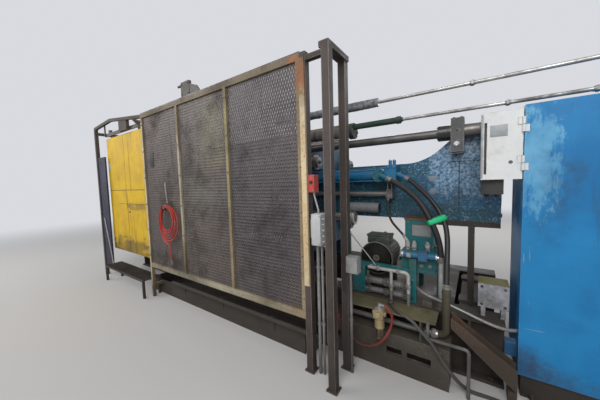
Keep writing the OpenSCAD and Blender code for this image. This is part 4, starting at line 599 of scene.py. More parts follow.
NODES_OF_COAT: dict[Coat, tuple[str, ...]] = {
    Coat.BED: ("bed_frame", "bed_beams", "drip_trays", "shot_support", "coolant_pipe"),
    Coat.STEP: ("shot_step",),
    Coat.MACHINE: ("fixed_platen", "moving_platen", "rear_platen", "closing_cylinder", "shot_cylinder",
        "hydraulic_tank"), Coat.STEEL: ("tie_bars", "toggle_pins", "plunger", "return_rod"),
    Coat.CAST: ("toggle_links", "crosshead", "shot_sleeve"),
    Coat.HEAD: ("shot_frame_front", "shot_frame_rear", "shot_head"), Coat.STRAIN: ("strain_rods",),
    Coat.CLAMP: ("rod_clamps",), Coat.LIGHT_BLUE: ("intensifier",), Coat.COVER: ("rod_tray",),
    Coat.BOTTLE: ("accumulators",), Coat.LINES: ("overhead_pipes",), Coat.TEAL: ("pump_frame",),
    Coat.MOTOR: ("pump_motor",), Coat.UNIT_PIPES: ("pump_pipes",), Coat.TOWER: ("valve_tower",),
    Coat.CABINET: ("cabinet",), Coat.BLACK: ("cabinet_plinth", "hose_hook"),
    Coat.WHITE: ("control_box", "control_box_door"), Coat.TAN: ("guard_frame", "rear_guard_frame"),
    Coat.MESH: ("mesh_left", "mesh_middle", "mesh_right"),
    Coat.POST: ("portal_posts", "door_track", "door_hangers"), Coat.YELLOW: ("sliding_door",),
    Coat.NAVY: ("end_panel",), Coat.GRATE: ("step_grating", "rear_guard_panels"),
    Coat.BOX_GREY: ("post_boxes",), Coat.SILVER: ("conduits",), Coat.BRASS: ("air_regulator",),
    Coat.CHUTE: ("chute",), Coat.BLOCK: ("support_block",),
    Coat.RED_HOSE: ("hose_coil", "hose_tail", "air_hose"),
    Coat.BLACK_HOSE: ("pressure_hose_a", "pressure_hose_b", "pilot_hose"),
}
COAT_OF_NODE = {node: coat for coat, nodes in NODES_OF_COAT.items() for node in nodes}


class Wardrobe:
    """Builds each finish once and puts it on pieces."""

    def __init__(self) -> None:
        """Builds the effect groups."""
        self.effects = Effects()
        self.made: dict[Coat, bpy.types.Material] = {}

    def material(self, coat: Coat) -> bpy.types.Material:
        """The material of a finish, built when it is first asked for."""
        if coat not in self.made:
            self.made[coat] = coat.value.build(self.effects)
        return self.made[coat]

    def dress(self, piece: bpy.types.Object, coat: Coat) -> None:
        """Puts a finish on a whole piece."""
        piece.data.materials.clear()
        piece.data.materials.append(self.material(coat))

    def dress_frame(self) -> None:
        """Gives every node of the machine its finish."""
        for name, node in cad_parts.items():
            for slot in node.material_slots:
                slot.material = self.material(COAT_OF_NODE[name])
            if not node.material_slots:
                self.dress(node, COAT_OF_NODE[name])


SKY_LEVEL = 0.74
SKY_COLOUR: Colour = (0.93, 0.95, 1.0)


@dataclass
class Studio:
    """Camera, floor and soft light round the machine."""

    camera_at: Point = (1.78, -3.0, 1.6)
    turn_left: float = math.radians(34.88)
    look_down: float = math.radians(3.93)
    roll: float = math.radians(-1.72)
    focal_px: float = 252.0
    picture_px: float = 600.0
    sensor: float = 36.0
    floor_size: float = 60.0
    floor_colour: Colour = (0.5, 0.49, 0.475)
    fade: tuple[float, float] = (6.5, 15.0)

    def camera(self) -> None:
        """Places the camera where the photograph was taken."""
        data = bpy.data.cameras.new("camera")
        data.sensor_width = self.sensor
        data.lens = self.focal_px / self.picture_px * self.sensor
        camera = bpy.data.objects.new("camera", data)
        bpy.context.scene.collection.objects.link(camera)
        turn = Matrix.Rotation(self.turn_left, 3, "Z")
        turn = turn @ Matrix.Rotation(math.pi / 2 - self.look_down, 3, "X") @ Matrix.Rotation(self.roll, 3,
            "Z")
        camera.matrix_world = Matrix.Translation(self.camera_at) @ turn.to_4x4()
        bpy.context.scene.camera = camera

    def floor(self) -> None:
        """Makes the pale floor."""
        bpy.ops.object.select_all(action="DESELECT")
        bpy.ops.mesh.primitive_plane_add(size=self.floor_size)
        floor = bpy.context.object
        floor.name = "floor"
        material = bpy.data.materials.new("pale_floor")
        material.use_nodes = True
        shader = material.node_tree.nodes["Principled BSDF"]
        c = NodeCanvas(material.node_tree)
        length = c.add("ShaderNodeVectorMath", operation="LENGTH")
        c.put(length.inputs[0], c.add("ShaderNodeTexCoord").outputs["Object"])
        far = c.span(length.outputs["Value"], *self.fade)
        c.put(shader.inputs["Base Color"], c.mix(far, self.floor_colour, (0.0, 0.0, 0.0)))
        c.put(shader.inputs["Specular IOR Level"], c.blend(far, 0.3, 0.0))
        c.put(shader.inputs["Emission Strength"], c.blend(far, 0.0, SKY_LEVEL))
        shader.inputs["Emission Color"].default_value = (*SKY_COLOUR, 1.0)
        shader.inputs["Roughness"].default_value = 0.85
        floor.data.materials.append(material)

    def lamp(self, name: str, at: Point, size: float, power: float, aim: Point) -> None:
        """Adds one soft area lamp.

        Args:
            name: The lamp's name.
            at: Its place.
            size: Its width.
            power: Its power in watts.
            aim: The point it faces.
        """
        data = bpy.data.lights.new(name, "AREA")
        data.size = size
        data.energy = power
        lamp = bpy.data.objects.new(name, data)
        bpy.context.scene.collection.objects.link(lamp)
        lamp.location = at
        lamp.rotation_euler = (Vector(aim) - Vector(at)).to_track_quat("-Z", "Y").to_euler()

    def light(self) -> None:
        """Lights the machine from above and from the operator's side."""
        self.lamp("key", (2.5, -7.0, 6.0), 5.0, 430.0, (-0.5, 0.0, 1.2))
        self.lamp("fill", (-6.5, -5.0, 5.0), 5.0, 260.0, (-2.0, 0.0, 1.2))
        self.lamp("back", (1.0, 7.5, 6.0), 5.0, 330.0, (-0.5, 0.0, 1.2))
        world = bpy.data.worlds.new("studio")
        world.use_nodes = True
        bpy.context.scene.world = world
        c = NodeCanvas(world.node_tree)
        world.node_tree.nodes.clear()
        path = c.add("ShaderNodeLightPath")
        seen = c.math("MAXIMUM", path.outputs["Is Camera Ray"], path.outputs["Is Transmission Ray"])
        seen = c.math("MAXIMUM", seen, path.outputs["Is Glossy Ray"])
        strength = c.blend(seen, 0.42, SKY_LEVEL)
        shader = c.add("ShaderNodeBackground")
        c.put(shader.inputs["Strength"], strength)
        shader.inputs["Color"].default_value = (*SKY_COLOUR, 1.0)
        c.put(c.add("ShaderNodeOutputWorld").inputs["Surface"], shader.outputs["Background"])
        bpy.context.scene.view_settings.view_transform = "Standard"

    def set_up(self) -> None:
        """Makes camera, floor and light."""
        self.camera()
        self.floor()
        self.light()

TURNED_ANGLE = math.radians(32.0)
SLAB_ANGLE = math.radians(38.0)
PIPE_ANGLE = math.radians(50.0)


class Bench:
    """Models pieces with Blender's own modelling tools."""

    def only(self, piece: bpy.types.Object) -> None:
        """Makes one piece the only selected and the active one."""
        bpy.ops.object.select_all(action="DESELECT")
        piece.select_set(True)
        bpy.context.view_layer.objects.active = piece

    def settle(self) -> bpy.types.Object:
        """Fixes the new piece's place, turn and size in its mesh."""
        bpy.ops.object.transform_apply(location=True, rotation=True, scale=True)
        return bpy.context.object

    def soften(self, piece: bpy.types.Object, width: float, steps: int = 2) -> bpy.types.Object:
        """Rounds the sharp edges of a piece.

        Args:
            piece: The piece, changed in place.
            width: Width of the rounding.
            steps: Number of faces across it.

        Returns:
            The same piece.
        """
        self.only(piece)
        bevel = piece.modifiers.new("rounding", "BEVEL")
        bevel.width = width
        bevel.segments = steps
        bevel.limit_method = "ANGLE"
        bevel.angle_limit = TURNED_ANGLE
        bpy.ops.object.modifier_apply(modifier=bevel.name)
        bpy.ops.object.shade_smooth_by_angle(angle=SLAB_ANGLE)
        return piece

    def slab(self, low: Point, high: Point, edge: float = 0.0015, steps: int = 2) -> bpy.types.Object:
        """Makes a box with rounded edges between two corners.

        Args:
            low: Corner with the smallest coordinates.
            high: Corner with the largest coordinates.
            edge: Width of the edge rounding.
            steps: Number of faces across the rounding.

        Returns:
            The box.
        """
        bpy.ops.object.select_all(action="DESELECT")
        middle = (Vector(low) + Vector(high)) / 2
        bpy.ops.mesh.primitive_cube_add(size=1.0, location=middle, scale=Vector(high) - Vector(low))
        return self.soften(self.settle(), edge, steps)

    def turned(self, at: Point, along: Point, profile: Sequence[tuple[float, float]],
               sides: int = 28) -> bpy.types.Object:
        """Makes a turned piece by extruding and resizing a disc along its axis.

        Args:
            at: Where the axis starts.
            along: Direction of the axis.
            profile: Pairs of distance along the axis and radius.
            sides: Number of sides.

        Returns:
            The turned piece.
        """
        bpy.ops.object.select_all(action="DESELECT")
        axis = Vector(along).normalized()
        last = profile[0]
        start = Vector(at) + axis * last[0]
        bpy.ops.mesh.primitive_circle_add(vertices=sides, radius=last[1], fill_type="NGON", location=start,
                                          rotation=axis.to_track_quat("Z", "Y").to_euler())
        piece = self.settle()
        bpy.ops.object.mode_set(mode="EDIT")
        bpy.ops.mesh.select_all(action="SELECT")
        for step in profile[1:]:
            bpy.ops.mesh.extrude_region_move(TRANSFORM_OT_translate={"value": axis * (step[0] - last[0])})
            if step[1] != last[1]:
                ratio = step[1] / last[1]
                bpy.ops.transform.resize(value=(ratio, ratio, ratio),
                    center_override=Vector(at) + axis * step[0])
            last = step
        bpy.ops.mesh.select_all(action="SELECT")
        bpy.ops.mesh.normals_make_consistent(inside=False)
        bpy.ops.object.mode_set(mode="OBJECT")
        bpy.ops.object.shade_smooth_by_angle(angle=TURNED_ANGLE)
        return piece

    def bar(self, a: Point, b: Point, radius: float, edge: float = 0.001,
            sides: int = 20) -> bpy.types.Object:
        """Makes a round bar with chamfered ends from one point to another."""
        long = (Vector(b) - Vector(a)).length
        profile = ((0.0, radius - edge), (edge, radius), (long - edge, radius), (long, radius - edge))
        return self.turned(a, Vector(b) - Vector(a), profile, sides)

    def line(self, name: str, points: Sequence[Point], radius: float) -> bpy.types.Object:
        """Makes a round curve through points with even bends.

        Args:
            name: The curve's name.
            points: The points that it runs through.
            radius: Its radius.

        Returns:
            The curve object.
        """
        data = bpy.data.curves.new(name, "CURVE")
        data.dimensions = "3D"
        data.bevel_depth = radius
        data.bevel_resolution = 4
        data.resolution_u = 6
        data.use_fill_caps = True
        spline = data.splines.new("BEZIER")
        spline.bezier_points.add(len(points) - 1)
        for spot, (before, place, after) in zip(spline.bezier_points, neighbours(points)):
            reach = (after - before) / 6
            spot.handle_left_type = spot.handle_right_type = "FREE"
            spot.co = place
            spot.handle_left = place - reach
            spot.handle_right = place + reach
        curve = bpy.data.objects.new(name, data)
        bpy.context.scene.collection.objects.link(curve)
        return curve

    def pipe(self, points: Sequence[Point], radius: float) -> bpy.types.Object:
        """Makes a fixed bent pipe or bar as a mesh."""
        self.only(self.line("pipe", points, radius))
        bpy.ops.object.convert(target="MESH")
        bpy.ops.object.shade_smooth_by_angle(angle=PIPE_ANGLE)
        return bpy.context.object

    def join(self, pieces: Sequence[bpy.types.Object]) -> bpy.types.Object:
        """Joins pieces into the first one."""
        self.only(pieces[0])
        for piece in pieces[1:]:
            piece.select_set(True)
        if len(pieces) > 1:
            bpy.ops.object.join()
        return pieces[0]

    def copies(self, piece: bpy.types.Object, moves: Sequence[Matrix]) -> bpy.types.Object:
        """Copies a piece to several places.

        Args:
            piece: The piece, which is used up.
            moves: The move of each copy.

        Returns:
            All copies as one piece.
        """
        made = []
        for move in moves:
            twin = piece.copy()
            twin.data = piece.data.copy()
            bpy.context.scene.collection.objects.link(twin)
            twin.data.transform(move)
            made.append(twin)
        bpy.data.objects.remove(piece)
        return self.join(made)

    def hex_bolt(self, size: float) -> bpy.types.Object:
        """Makes a hexagon head on its washer at the origin, for a thread of that size."""
        washer = self.turned((0, 0, 0), (0, 0, 1), ((0.0, size * 1.05), (size * 0.14, size * 1.05)), 20)
        rim = size * 0.92
        head = self.turned((0, 0, size * 0.14), (0, 0, 1),
                           ((0.0, rim), (size * 0.55, rim), (size * 0.64, rim * 0.84)), 6)
        return self.join((washer, head))

    def socket_screw(self, size: float) -> bpy.types.Object:
        """Makes a socket head with its recess at the origin, for a thread of that size."""
        rim = size * 0.78
        profile = ((0.0, rim), (size * 0.85, rim), (size, rim * 0.88), (size, rim * 0.5),
            (size * 0.5, rim * 0.48))
        return self.turned((0, 0, 0), (0, 0, 1), profile, 18)

    def union_nut(self, radius: float) -> bpy.types.Object:
        """Makes a pipe's union nut at the origin, for a pipe of that radius."""
        ring = self.turned((0, 0, -radius * 1.3), (0, 0, 1),
                           ((0.0, radius * 1.25), (radius * 2.6, radius * 1.25)), 24)
        rim = radius * 1.6
        profile = ((0.0, rim * 0.9), (radius * 0.15, rim), (radius * 1.25, rim), (radius * 1.4, rim * 0.9))
        nut = self.turned((0, 0, -radius * 0.7), (0, 0, 1), profile, 6)
        return self.join((ring, nut))


def neighbours(points: Sequence[Point]) -> list[tuple[Vector, Vector, Vector]]:
    """Each point with the one before and the one after it."""
    line = [Vector(point) for point in points]
    last = len(line) - 1
    return [(line[max(i - 1, 0)], line[i], line[min(i + 1, last)]) for i in range(last + 1)]


def curve_length(points: Sequence[Point]) -> float:
    """Length of the even curve through points."""
    total = 0.0
    around = neighbours(points)
    for (before, a, b), (_, _, after) in zip(around, around[1:]):
        bend = geometry.interpolate_bezier(a, a + (b - before) / 6, b - (after - a) / 6, b, 16)
        total += sum((q - p).length for p, q in zip(bend, bend[1:]))
    return total


def denser(points: Sequence[Point]) -> list[Point]:
    """The same curve with one more point in each gap."""
    around = neighbours(points)
    line = [tuple(points[0])]
    for (before, a, b), (_, _, after) in zip(around, around[1:]):
        middle = (a + b) / 2 + ((b - before) - (after - a)) / 16
        line.extend((tuple(middle), tuple(b)))
    return line


class Workshop:
    """The bench and the wardrobe, and the last step of each piece."""

    def __init__(self) -> None:
        """Opens the workshop and dresses the machine's own nodes."""
        self.bench = Bench()
        self.wardrobe = Wardrobe()
        self.wardrobe.dress_frame()

    def finish(self, name: str, piece: bpy.types.Object, coat: Coat, body: Body = Body.MACHINE,
               replaces: Sequence[str] = ()) -> bpy.types.Object:
        """Names and dresses a piece and fixes it to its body.

        Args:
            name: The piece's name.
            piece: The piece.
            coat: Its finish.
            body: The body it rides on.
            replaces: Machine nodes that it stands for.

        Returns:
            The piece.
        """
        piece.name = name
        self.wardrobe.dress(piece, coat)
        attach(piece, body.value)
        if replaces:
            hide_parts(*replaces)
        LOG.info("%s on %s", name, body.value)
        return piece


MM = 0.001
UP: Point = (0.0, 0.0, 1.0)
DOWN: Point = (0.0, 0.0, -1.0)
FRONT: Point = (0.0, -1.0, 0.0)
BACK: Point = (0.0, 1.0, 0.0)
RIGHT: Point = (1.0, 0.0, 0.0)
LEFT: Point = (-1.0, 0.0, 0.0)


def lead(at: Point, along: Point, step: float) -> list[Point]:
    """Three points that leave a place straight along a direction, in millimetres."""
    way = Vector(along).normalized()
    return [tuple(Vector(at) + way * (0.3 + step * i)) for i in range(3)]


def metres(points: Sequence[Point]) -> list[Point]:
    """Points given in millimetres, in metres."""
    return [tuple(value * MM for value in point) for point in points]


Spot = tuple[Point, Point]
Profile = Sequence[tuple[float, float]]
Places = float | Sequence[float]


def spots(x: Places, y: Places, z: Places, along: Point) -> list[Spot]:
    """Places at every mix of the given coordinates, all facing one way."""
    xs, ys, zs = ((value,) if isinstance(value, (int, float)) else value for value in (x, y, z))
    return [((a, b, c), along) for a in xs for b in ys for c in zs]


def ring(centre: Point, radius: float, angles: Sequence[float], along: Point,
         outward: bool = False) -> list[Spot]:
    """Places on an upright circle.

    Args:
        centre: The middle of the circle.
        radius: Its radius.
        angles: Where the places are on it.
        along: The way that the circle faces, along X or Y.
        outward: Whether the places face away from the centre instead.

    Returns:
        The places with their directions.
    """
    across = Vector((0.0, 1.0, 0.0)) if along[0] else Vector((1.0, 0.0, 0.0))
    ways = [across * math.cos(angle) + Vector(UP) * math.sin(angle) for angle in angles]
    return [(tuple(Vector(centre) + way * radius), tuple(way) if outward else along) for way in ways]


def pose(at: Point, along: Point) -> Matrix:
    """The move of a piece made at the origin along +Z to a place and a direction."""
    return Matrix.Translation(at) @ Vector(along).to_track_quat("Z", "Y").to_matrix().to_4x4()


@dataclass(frozen=True)
class Slab:
    """A box with rounded edges between two corners."""

    low: Point
    high: Point
    edge: float = 0.0015
    steps: int = 2

    def make(self, bench: Bench) -> bpy.types.Object:
        """Makes the box."""
        return bench.slab(self.low, self.high, self.edge, self.steps)


@dataclass(frozen=True)
class Turned:
    """A turned form, made at each of its spots."""

    spots: list[Spot]
    profile: Profile
    sides: int

    def make(self, bench: Bench) -> bpy.types.Object:
        """Makes the form at every spot."""
        return bench.join([bench.turned(at, along, self.profile, self.sides) for at, along in self.spots])


@dataclass(frozen=True)
class Bar:
    """A round bar with chamfered ends."""

    a: Point
    b: Point
    radius: float

    def make(self, bench: Bench) -> bpy.types.Object:
        """Makes the bar."""
        return bench.bar(self.a, self.b, self.radius)


@dataclass(frozen=True)
class Pipe:
    """A fixed bent bar."""

    points: Sequence[Point]
    radius: float

    def make(self, bench: Bench) -> bpy.types.Object:
        """Makes the bar."""
        return bench.pipe(self.points, self.radius)


@dataclass(frozen=True)
class Fasteners:
    """Equal bolts, screws or nuts at some spots."""

    kind: Callable[[Bench, float], bpy.types.Object]
    size: float
    spots: list[Spot]

    def make(self, bench: Bench) -> bpy.types.Object:
        """Makes one and copies it to every spot."""
        return bench.copies(self.kind(bench, self.size), [pose(*spot) for spot in self.spots])


@dataclass(frozen=True)
class Link:
    """One long link of a chain."""

    radius: float = 0.009
    wire: float = 0.0026
    stretch: Point = (0.75, 1.0, 1.35)

    def make(self, bench: Bench) -> bpy.types.Object:
        """Makes the link as a stretched ring."""
        bpy.ops.object.select_all(action="DESELECT")
        bpy.ops.mesh.primitive_torus_add(major_radius=self.radius, minor_radius=self.wire, major_segments=18,
                                         minor_segments=8, rotation=(math.pi / 2, 0, 0))
        link = bench.settle()
        bpy.ops.object.mode_set(mode="EDIT")
        bpy.ops.mesh.select_all(action="SELECT")
        bpy.ops.transform.resize(value=self.stretch, center_override=(0, 0, 0))
        bpy.ops.object.mode_set(mode="OBJECT")
        return link


@dataclass(frozen=True)
class Copies:
    """Other forms, joined and copied by some moves."""

    forms: tuple["Form", ...]
    moves: list[Matrix]

    def make(self, bench: Bench) -> bpy.types.Object:
        """Makes the forms once and copies them."""
        return bench.copies(bench.join([form.make(bench) for form in self.forms]), self.moves)


Form = Slab | Turned | Bar | Pipe | Fasteners | Link | Copies


class Part:
    """A named piece made of one or more forms."""

    def __init__(self, name: str, coat: Coat, *forms: Form, body: Body = Body.MACHINE) -> None:
        """Keeps the piece's name, finish, forms and body."""
        self.name = name
        self.coat = coat
        self.forms = forms
        self.body = body

    def build(self, shop: Workshop) -> bpy.types.Object:
        """Makes the forms, joins them and finishes the piece."""
        piece = shop.bench.join([form.make(shop.bench) for form in self.forms])
        return shop.finish(self.name, piece, self.coat, self.body)


HEX = Bench.hex_bolt
SOCKET = Bench.socket_screw
UNION = Bench.union_nut


@dataclass(frozen=True)
class Hose:
    """A free hose with a fitting at each end, its route in millimetres."""

    name: str
    node: str
    radius: float
    start: tuple[Point, Point, float]
    middle: tuple[Point, ...]
    end: tuple[Point, Point, float]
    coat: Coat
    extra_points: bool = True

    def route(self) -> list[Point]:
        """The hose's points in metres."""
        points = lead(*self.start) + list(self.middle) + lead(*self.end)[::-1]
        return metres(denser(points) if self.extra_points else points)


@dataclass
class Hoses:
    """The four free hoses of the injection end and their fittings."""

    shop: Workshop
    hoses: tuple[Hose, ...] = (
        Hose("pressure_hose_large", "pressure_hose_a", 24, ((1090, -564, 1617), (72, -12, -34), 18),
             ((1200, -582, 1557), (1285, -602, 1497), (1370, -622, 1420), (1438, -640, 1322),
             (1490, -650, 1215),
              (1525, -652, 1120), (1547, -650, 1020)),
             ((1555, -650, 900), UP, 18), Coat.BLACK_HOSE),
        Hose("pressure_hose_small", "pressure_hose_b", 20, ((1232, -460, 1617), (70, -18, -36), 18),
             ((1361, -500, 1519), (1471, -548, 1407), (1540, -585, 1305), (1580, -615, 1212),
             (1598, -650, 1105),
              (1602, -697, 985), (1604, -745, 880)),
             ((1606, -790, 735), UP, 18), Coat.BLACK_HOSE),
        Hose("pilot_line_hose", "pilot_hose", 11, ((1060, -415, 1417), DOWN, 14),
             ((1063, -428, 1330), (1080, -460, 1260), (1120, -500, 1195), (1175, -530, 1142)),
             ((1243, -550, 1072), (-32, 8, 42), 12), Coat.BLACK_HOSE),
        Hose("air_supply_hose", "air_hose", 10, ((1164, -990, 575), RIGHT, 10),
             ((1206, -990, 566), (1228, -990, 548), (1241, -991, 521), (1246, -991, 488), (1243, -993, 445),
              (1230, -998, 395), (1204, -1010, 338), (1165, -1022, 282), (1110, -1026, 237),
              (1045, -1026, 210),
              (985, -1024, 206), (930, -1022, 222), (880, -1030, 262), (840, -1048, 322), (815, -1069, 410),
              (805, -1082, 505), (802, -1088, 590), (803, -1088, 650)),
             ((806, -1088, 715), DOWN, 12), Coat.DULL_RED, extra_points=False),
    )

    def fitting(self, hose: Hose, at: Point, along: Point) -> bpy.types.Object:
        """Makes a crimped end with its nut.

        Args:
            hose: The hose.
            at: The end of the hose, in millimetres.
            along: The direction in which the hose leaves it.

        Returns:
            The fitting.
        """
        bench = self.shop.bench
        r = hose.radius * MM
        edges = ((0.0, r * 1.12), (r * 0.1, r * 1.28), (r * 0.55, r * 1.28), (r * 0.65, r * 1.12))
        nut = bench.turned((0, 0, 0), UP, edges, 6)
        profile = [(r * 0.6, r * 1.16)]
        for ring in range(3):
            low = r * (0.7 + ring * 0.38)
            profile.extend(((low, r * 1.16), (low + r * 0.05, r * 1.06), (low + r * 0.13, r * 1.06),
                            (low + r * 0.18, r * 1.16)))
        profile.extend(((r * 1.9, r * 1.16), (r * 2.0, r * 1.02)))
        fitting = bench.join((nut, bench.turned((0, 0, 0), UP, profile, 28)))
        fitting.data.transform(pose(Vector(at) * MM, along))
        return fitting

    def build(self) -> None:
        """Lays each hose and puts its fittings on."""
        for hose in self.hoses:
            points = hose.route()
            curve = self.shop.bench.line(hose.name, points, hose.radius * MM)
            self.shop.finish(hose.name, curve, hose.coat, replaces=(hose.node,))
            for side, (at, along, _) in (("top", hose.start), ("foot", hose.end)):
                fitting = self.fitting(hose, at, along)
                self.shop.finish(f"{hose.name}_{side}_fitting", fitting, Coat.SILVER)
            curve_length(points)


@dataclass
class HookCoil:
    """The red air line that hangs coiled on the hook of the guard."""

    shop: Workshop
    centre_x: float = -1.49
    radius: float = 0.007
    turns: float = 5.5
    points_a_turn: int = 16
    tops: tuple[float, ...] = (1.326, 1.326, 1.343, 1.343, 1.36, 1.36)
    layers: tuple[float, float] = (-1.357, -1.333)
    bottom: float = 1.05
    bottom_step: float = 0.033
    left_width: tuple[float, float] = (0.1, 0.013)
    right_width: tuple[float, float] = (0.14, 0.027)
    drop_radius: float = 0.064
    tail: tuple[Point, ...] = ((-1.4235, -1.345, 0.765), (-1.4165, -1.345, 0.724), (-1.408, -1.345, 0.682),
                               (-1.4, -1.345, 0.64))

    def between(self, values: Sequence[float], turn: float) -> float:
        """A value that passes smoothly from one turn's number to the next."""
        low = int(turn)
        share = turn - low
        share = share * share * (3 - 2 * share)
        return values[low % len(values)] * (1 - share) + values[(low + 1) % len(values)] * share

    def winding(self, turn: float) -> Point:
        """The coil's point after that many turns, counted from the top of the hook."""
        top = self.between(self.tops, min(turn, len(self.tops) - 1.001))
        low = self.bottom - self.bottom_step * turn
        angle = math.tau * turn
        swing = math.sin(angle)
        first, growth = self.left_width if swing > 0 else self.right_width
        x = self.centre_x - (first + growth * turn) * swing
        y = self.between(self.layers, turn)
        return x, y, (top + low) / 2 + (top - low) / 2 * math.cos(angle)

    def build(self) -> None:
        """Winds the line and puts its two couplings on."""
        steps = round(self.turns * self.points_a_turn)
        points = [self.winding(i / self.points_a_turn) for i in range(steps + 1)]
        low = points[-1]
        for part in range(1, 7):
            angle = part * math.pi / 12
            points.append((low[0] + self.drop_radius * math.sin(angle), -1.345,
                           low[2] - self.drop_radius * (1 - math.cos(angle))))
        points.extend(self.tail)
        curve = self.shop.bench.line("coiled_air_line", points, self.radius)
        self.shop.finish("coiled_air_line", curve, Coat.RED_HOSE, replaces=("hose_coil", "hose_tail"))
        bench = self.shop.bench
        first = Vector(points[0]) - Vector(points[1])
        r = self.radius
        nose = bench.turned(tuple(Vector(points[0]) - first.normalized() * 0.012), tuple(first),
                            ((0.0, r * 1.1), (0.002, r * 1.35), (0.016, r * 1.35), (0.018, r * 1.1),
                             (0.03, r * 1.1), (0.032, r * 0.7)), 16)
        plug = bench.turned(tuple(Vector(points[-1]) + Vector((0, 0, 0.012))), (0.05, 0.0, -1.0),
                            ((0.0, r * 1.15), (0.002, r * 1.5), (0.014, r * 1.5), (0.016, r * 1.2),
                             (0.02, r * 1.7), (0.036, r * 1.7), (0.038, r * 1.3), (0.052, r * 1.3),
                             (0.053, r * 0.8), (0.04, r * 0.75)), 20)
        self.shop.finish("coil_start_plug", nose, Coat.BRASS)
        self.shop.finish("coil_end_coupling", plug, Coat.BRASS)
        curve_length(points)


@dataclass
class MeshBays:
    """Expanded metal sheets of the guard."""

    shop: Workshop
    stile: float = 0.04
    low: float = 0.51
    high: float = 2.565
    cell: tuple[float, float] = (0.0285, 0.064)
    strand: tuple[float, float] = (0.019, 0.0011)
    overlap: float = 0.003
    tilt: float = math.radians(8.5)

    def strand_bar(self, a: Point, b: Point) -> bpy.types.Object:
        """Makes one tilted strand between two knots."""
        bpy.ops.object.select_all(action="DESELECT")
        run = Vector(b) - Vector(a)
        size = (run.length + self.overlap, self.strand[1], self.strand[0])
        bpy.ops.mesh.primitive_cube_add(size=1.0, location=(Vector(a) + Vector(b)) / 2, scale=size,
                                        rotation=(self.tilt, -math.atan2(run.z, run.x), 0.0))
        return self.shop.bench.settle()

    def sheet(self, left: float, width: float, plane: float) -> bpy.types.Object:
        """Makes one sheet as a diamond cell repeated in both directions.

        Args:
            left: Its left edge.
            width: Its width.
            plane: The Y of its middle plane.

        Returns:
            The sheet.
        """
        across = round(width / self.cell[0])
        rows = round((self.high - self.low) / self.cell[1])
        w, h = width / across, (self.high - self.low) / rows
        ends = (((0, h / 2), (w / 2, 0)), ((w / 2, 0), (w, h / 2)), ((w / 2, h), (w, h / 2)),
            ((0, h / 2), (w / 2, h)))
        strands = [self.strand_bar((left + a[0], plane, self.low + a[1]),
            (left + b[0], plane, self.low + b[1]))
                   for a, b in ends]
        cell = self.shop.bench.join(strands)
        for count, shift in ((across, (w, 0, 0)), (rows, (0, 0, h))):
            array = cell.modifiers.new("repeat", "ARRAY")
            array.count = count
            array.use_relative_offset = False
            array.use_constant_offset = True
            array.constant_offset_displace = shift
            bpy.ops.object.modifier_apply(modifier=array.name)
        layer = cell.data.uv_layers.new(name="cells")
        for loop, corner in zip(cell.data.loops, layer.data):
            place = cell.data.vertices[loop.vertex_index].co
            corner.uv = ((place.x - left) / w, (place.z - self.low) / h)
        return cell

    def build(self) -> None:
        """Makes the three front sheets and the two far ones."""
        for name, left in (("left", -2.083), ("middle", -1.187), ("right", -0.291)):
            sheet = self.sheet(left + self.stile / 2, 0.896 - self.stile, -1.28)
            self.shop.finish(f"expanded_mesh_{name}", sheet, Coat.MESH, replaces=(f"mesh_{name}",))
        for name, left, width in (("far_left", -2.043, 0.9015), ("far_right", -1.1015, 0.8615)):
            self.shop.finish(f"expanded_mesh_{name}", self.sheet(left, width, 1.28), Coat.MESH)
        self.far_panel()

    def far_panel(self) -> None:
        """Makes the plain ribbed sheet of the far side, which stands for all the far panels."""
        bench = self.shop.bench
        parts = [bench.slab((-3.86, 1.276, 0.51), (-2.083, 1.284, 2.565), 0.001)]
        parts += [bench.slab((x, 1.2835, 0.53), (x + 0.04, 1.296, 2.545), 0.004) for x in (-3.43, -2.99,
            -2.55)]
        self.shop.finish("far_plain_panel", bench.join(parts), Coat.GRATE, replaces=("rear_guard_panels",))


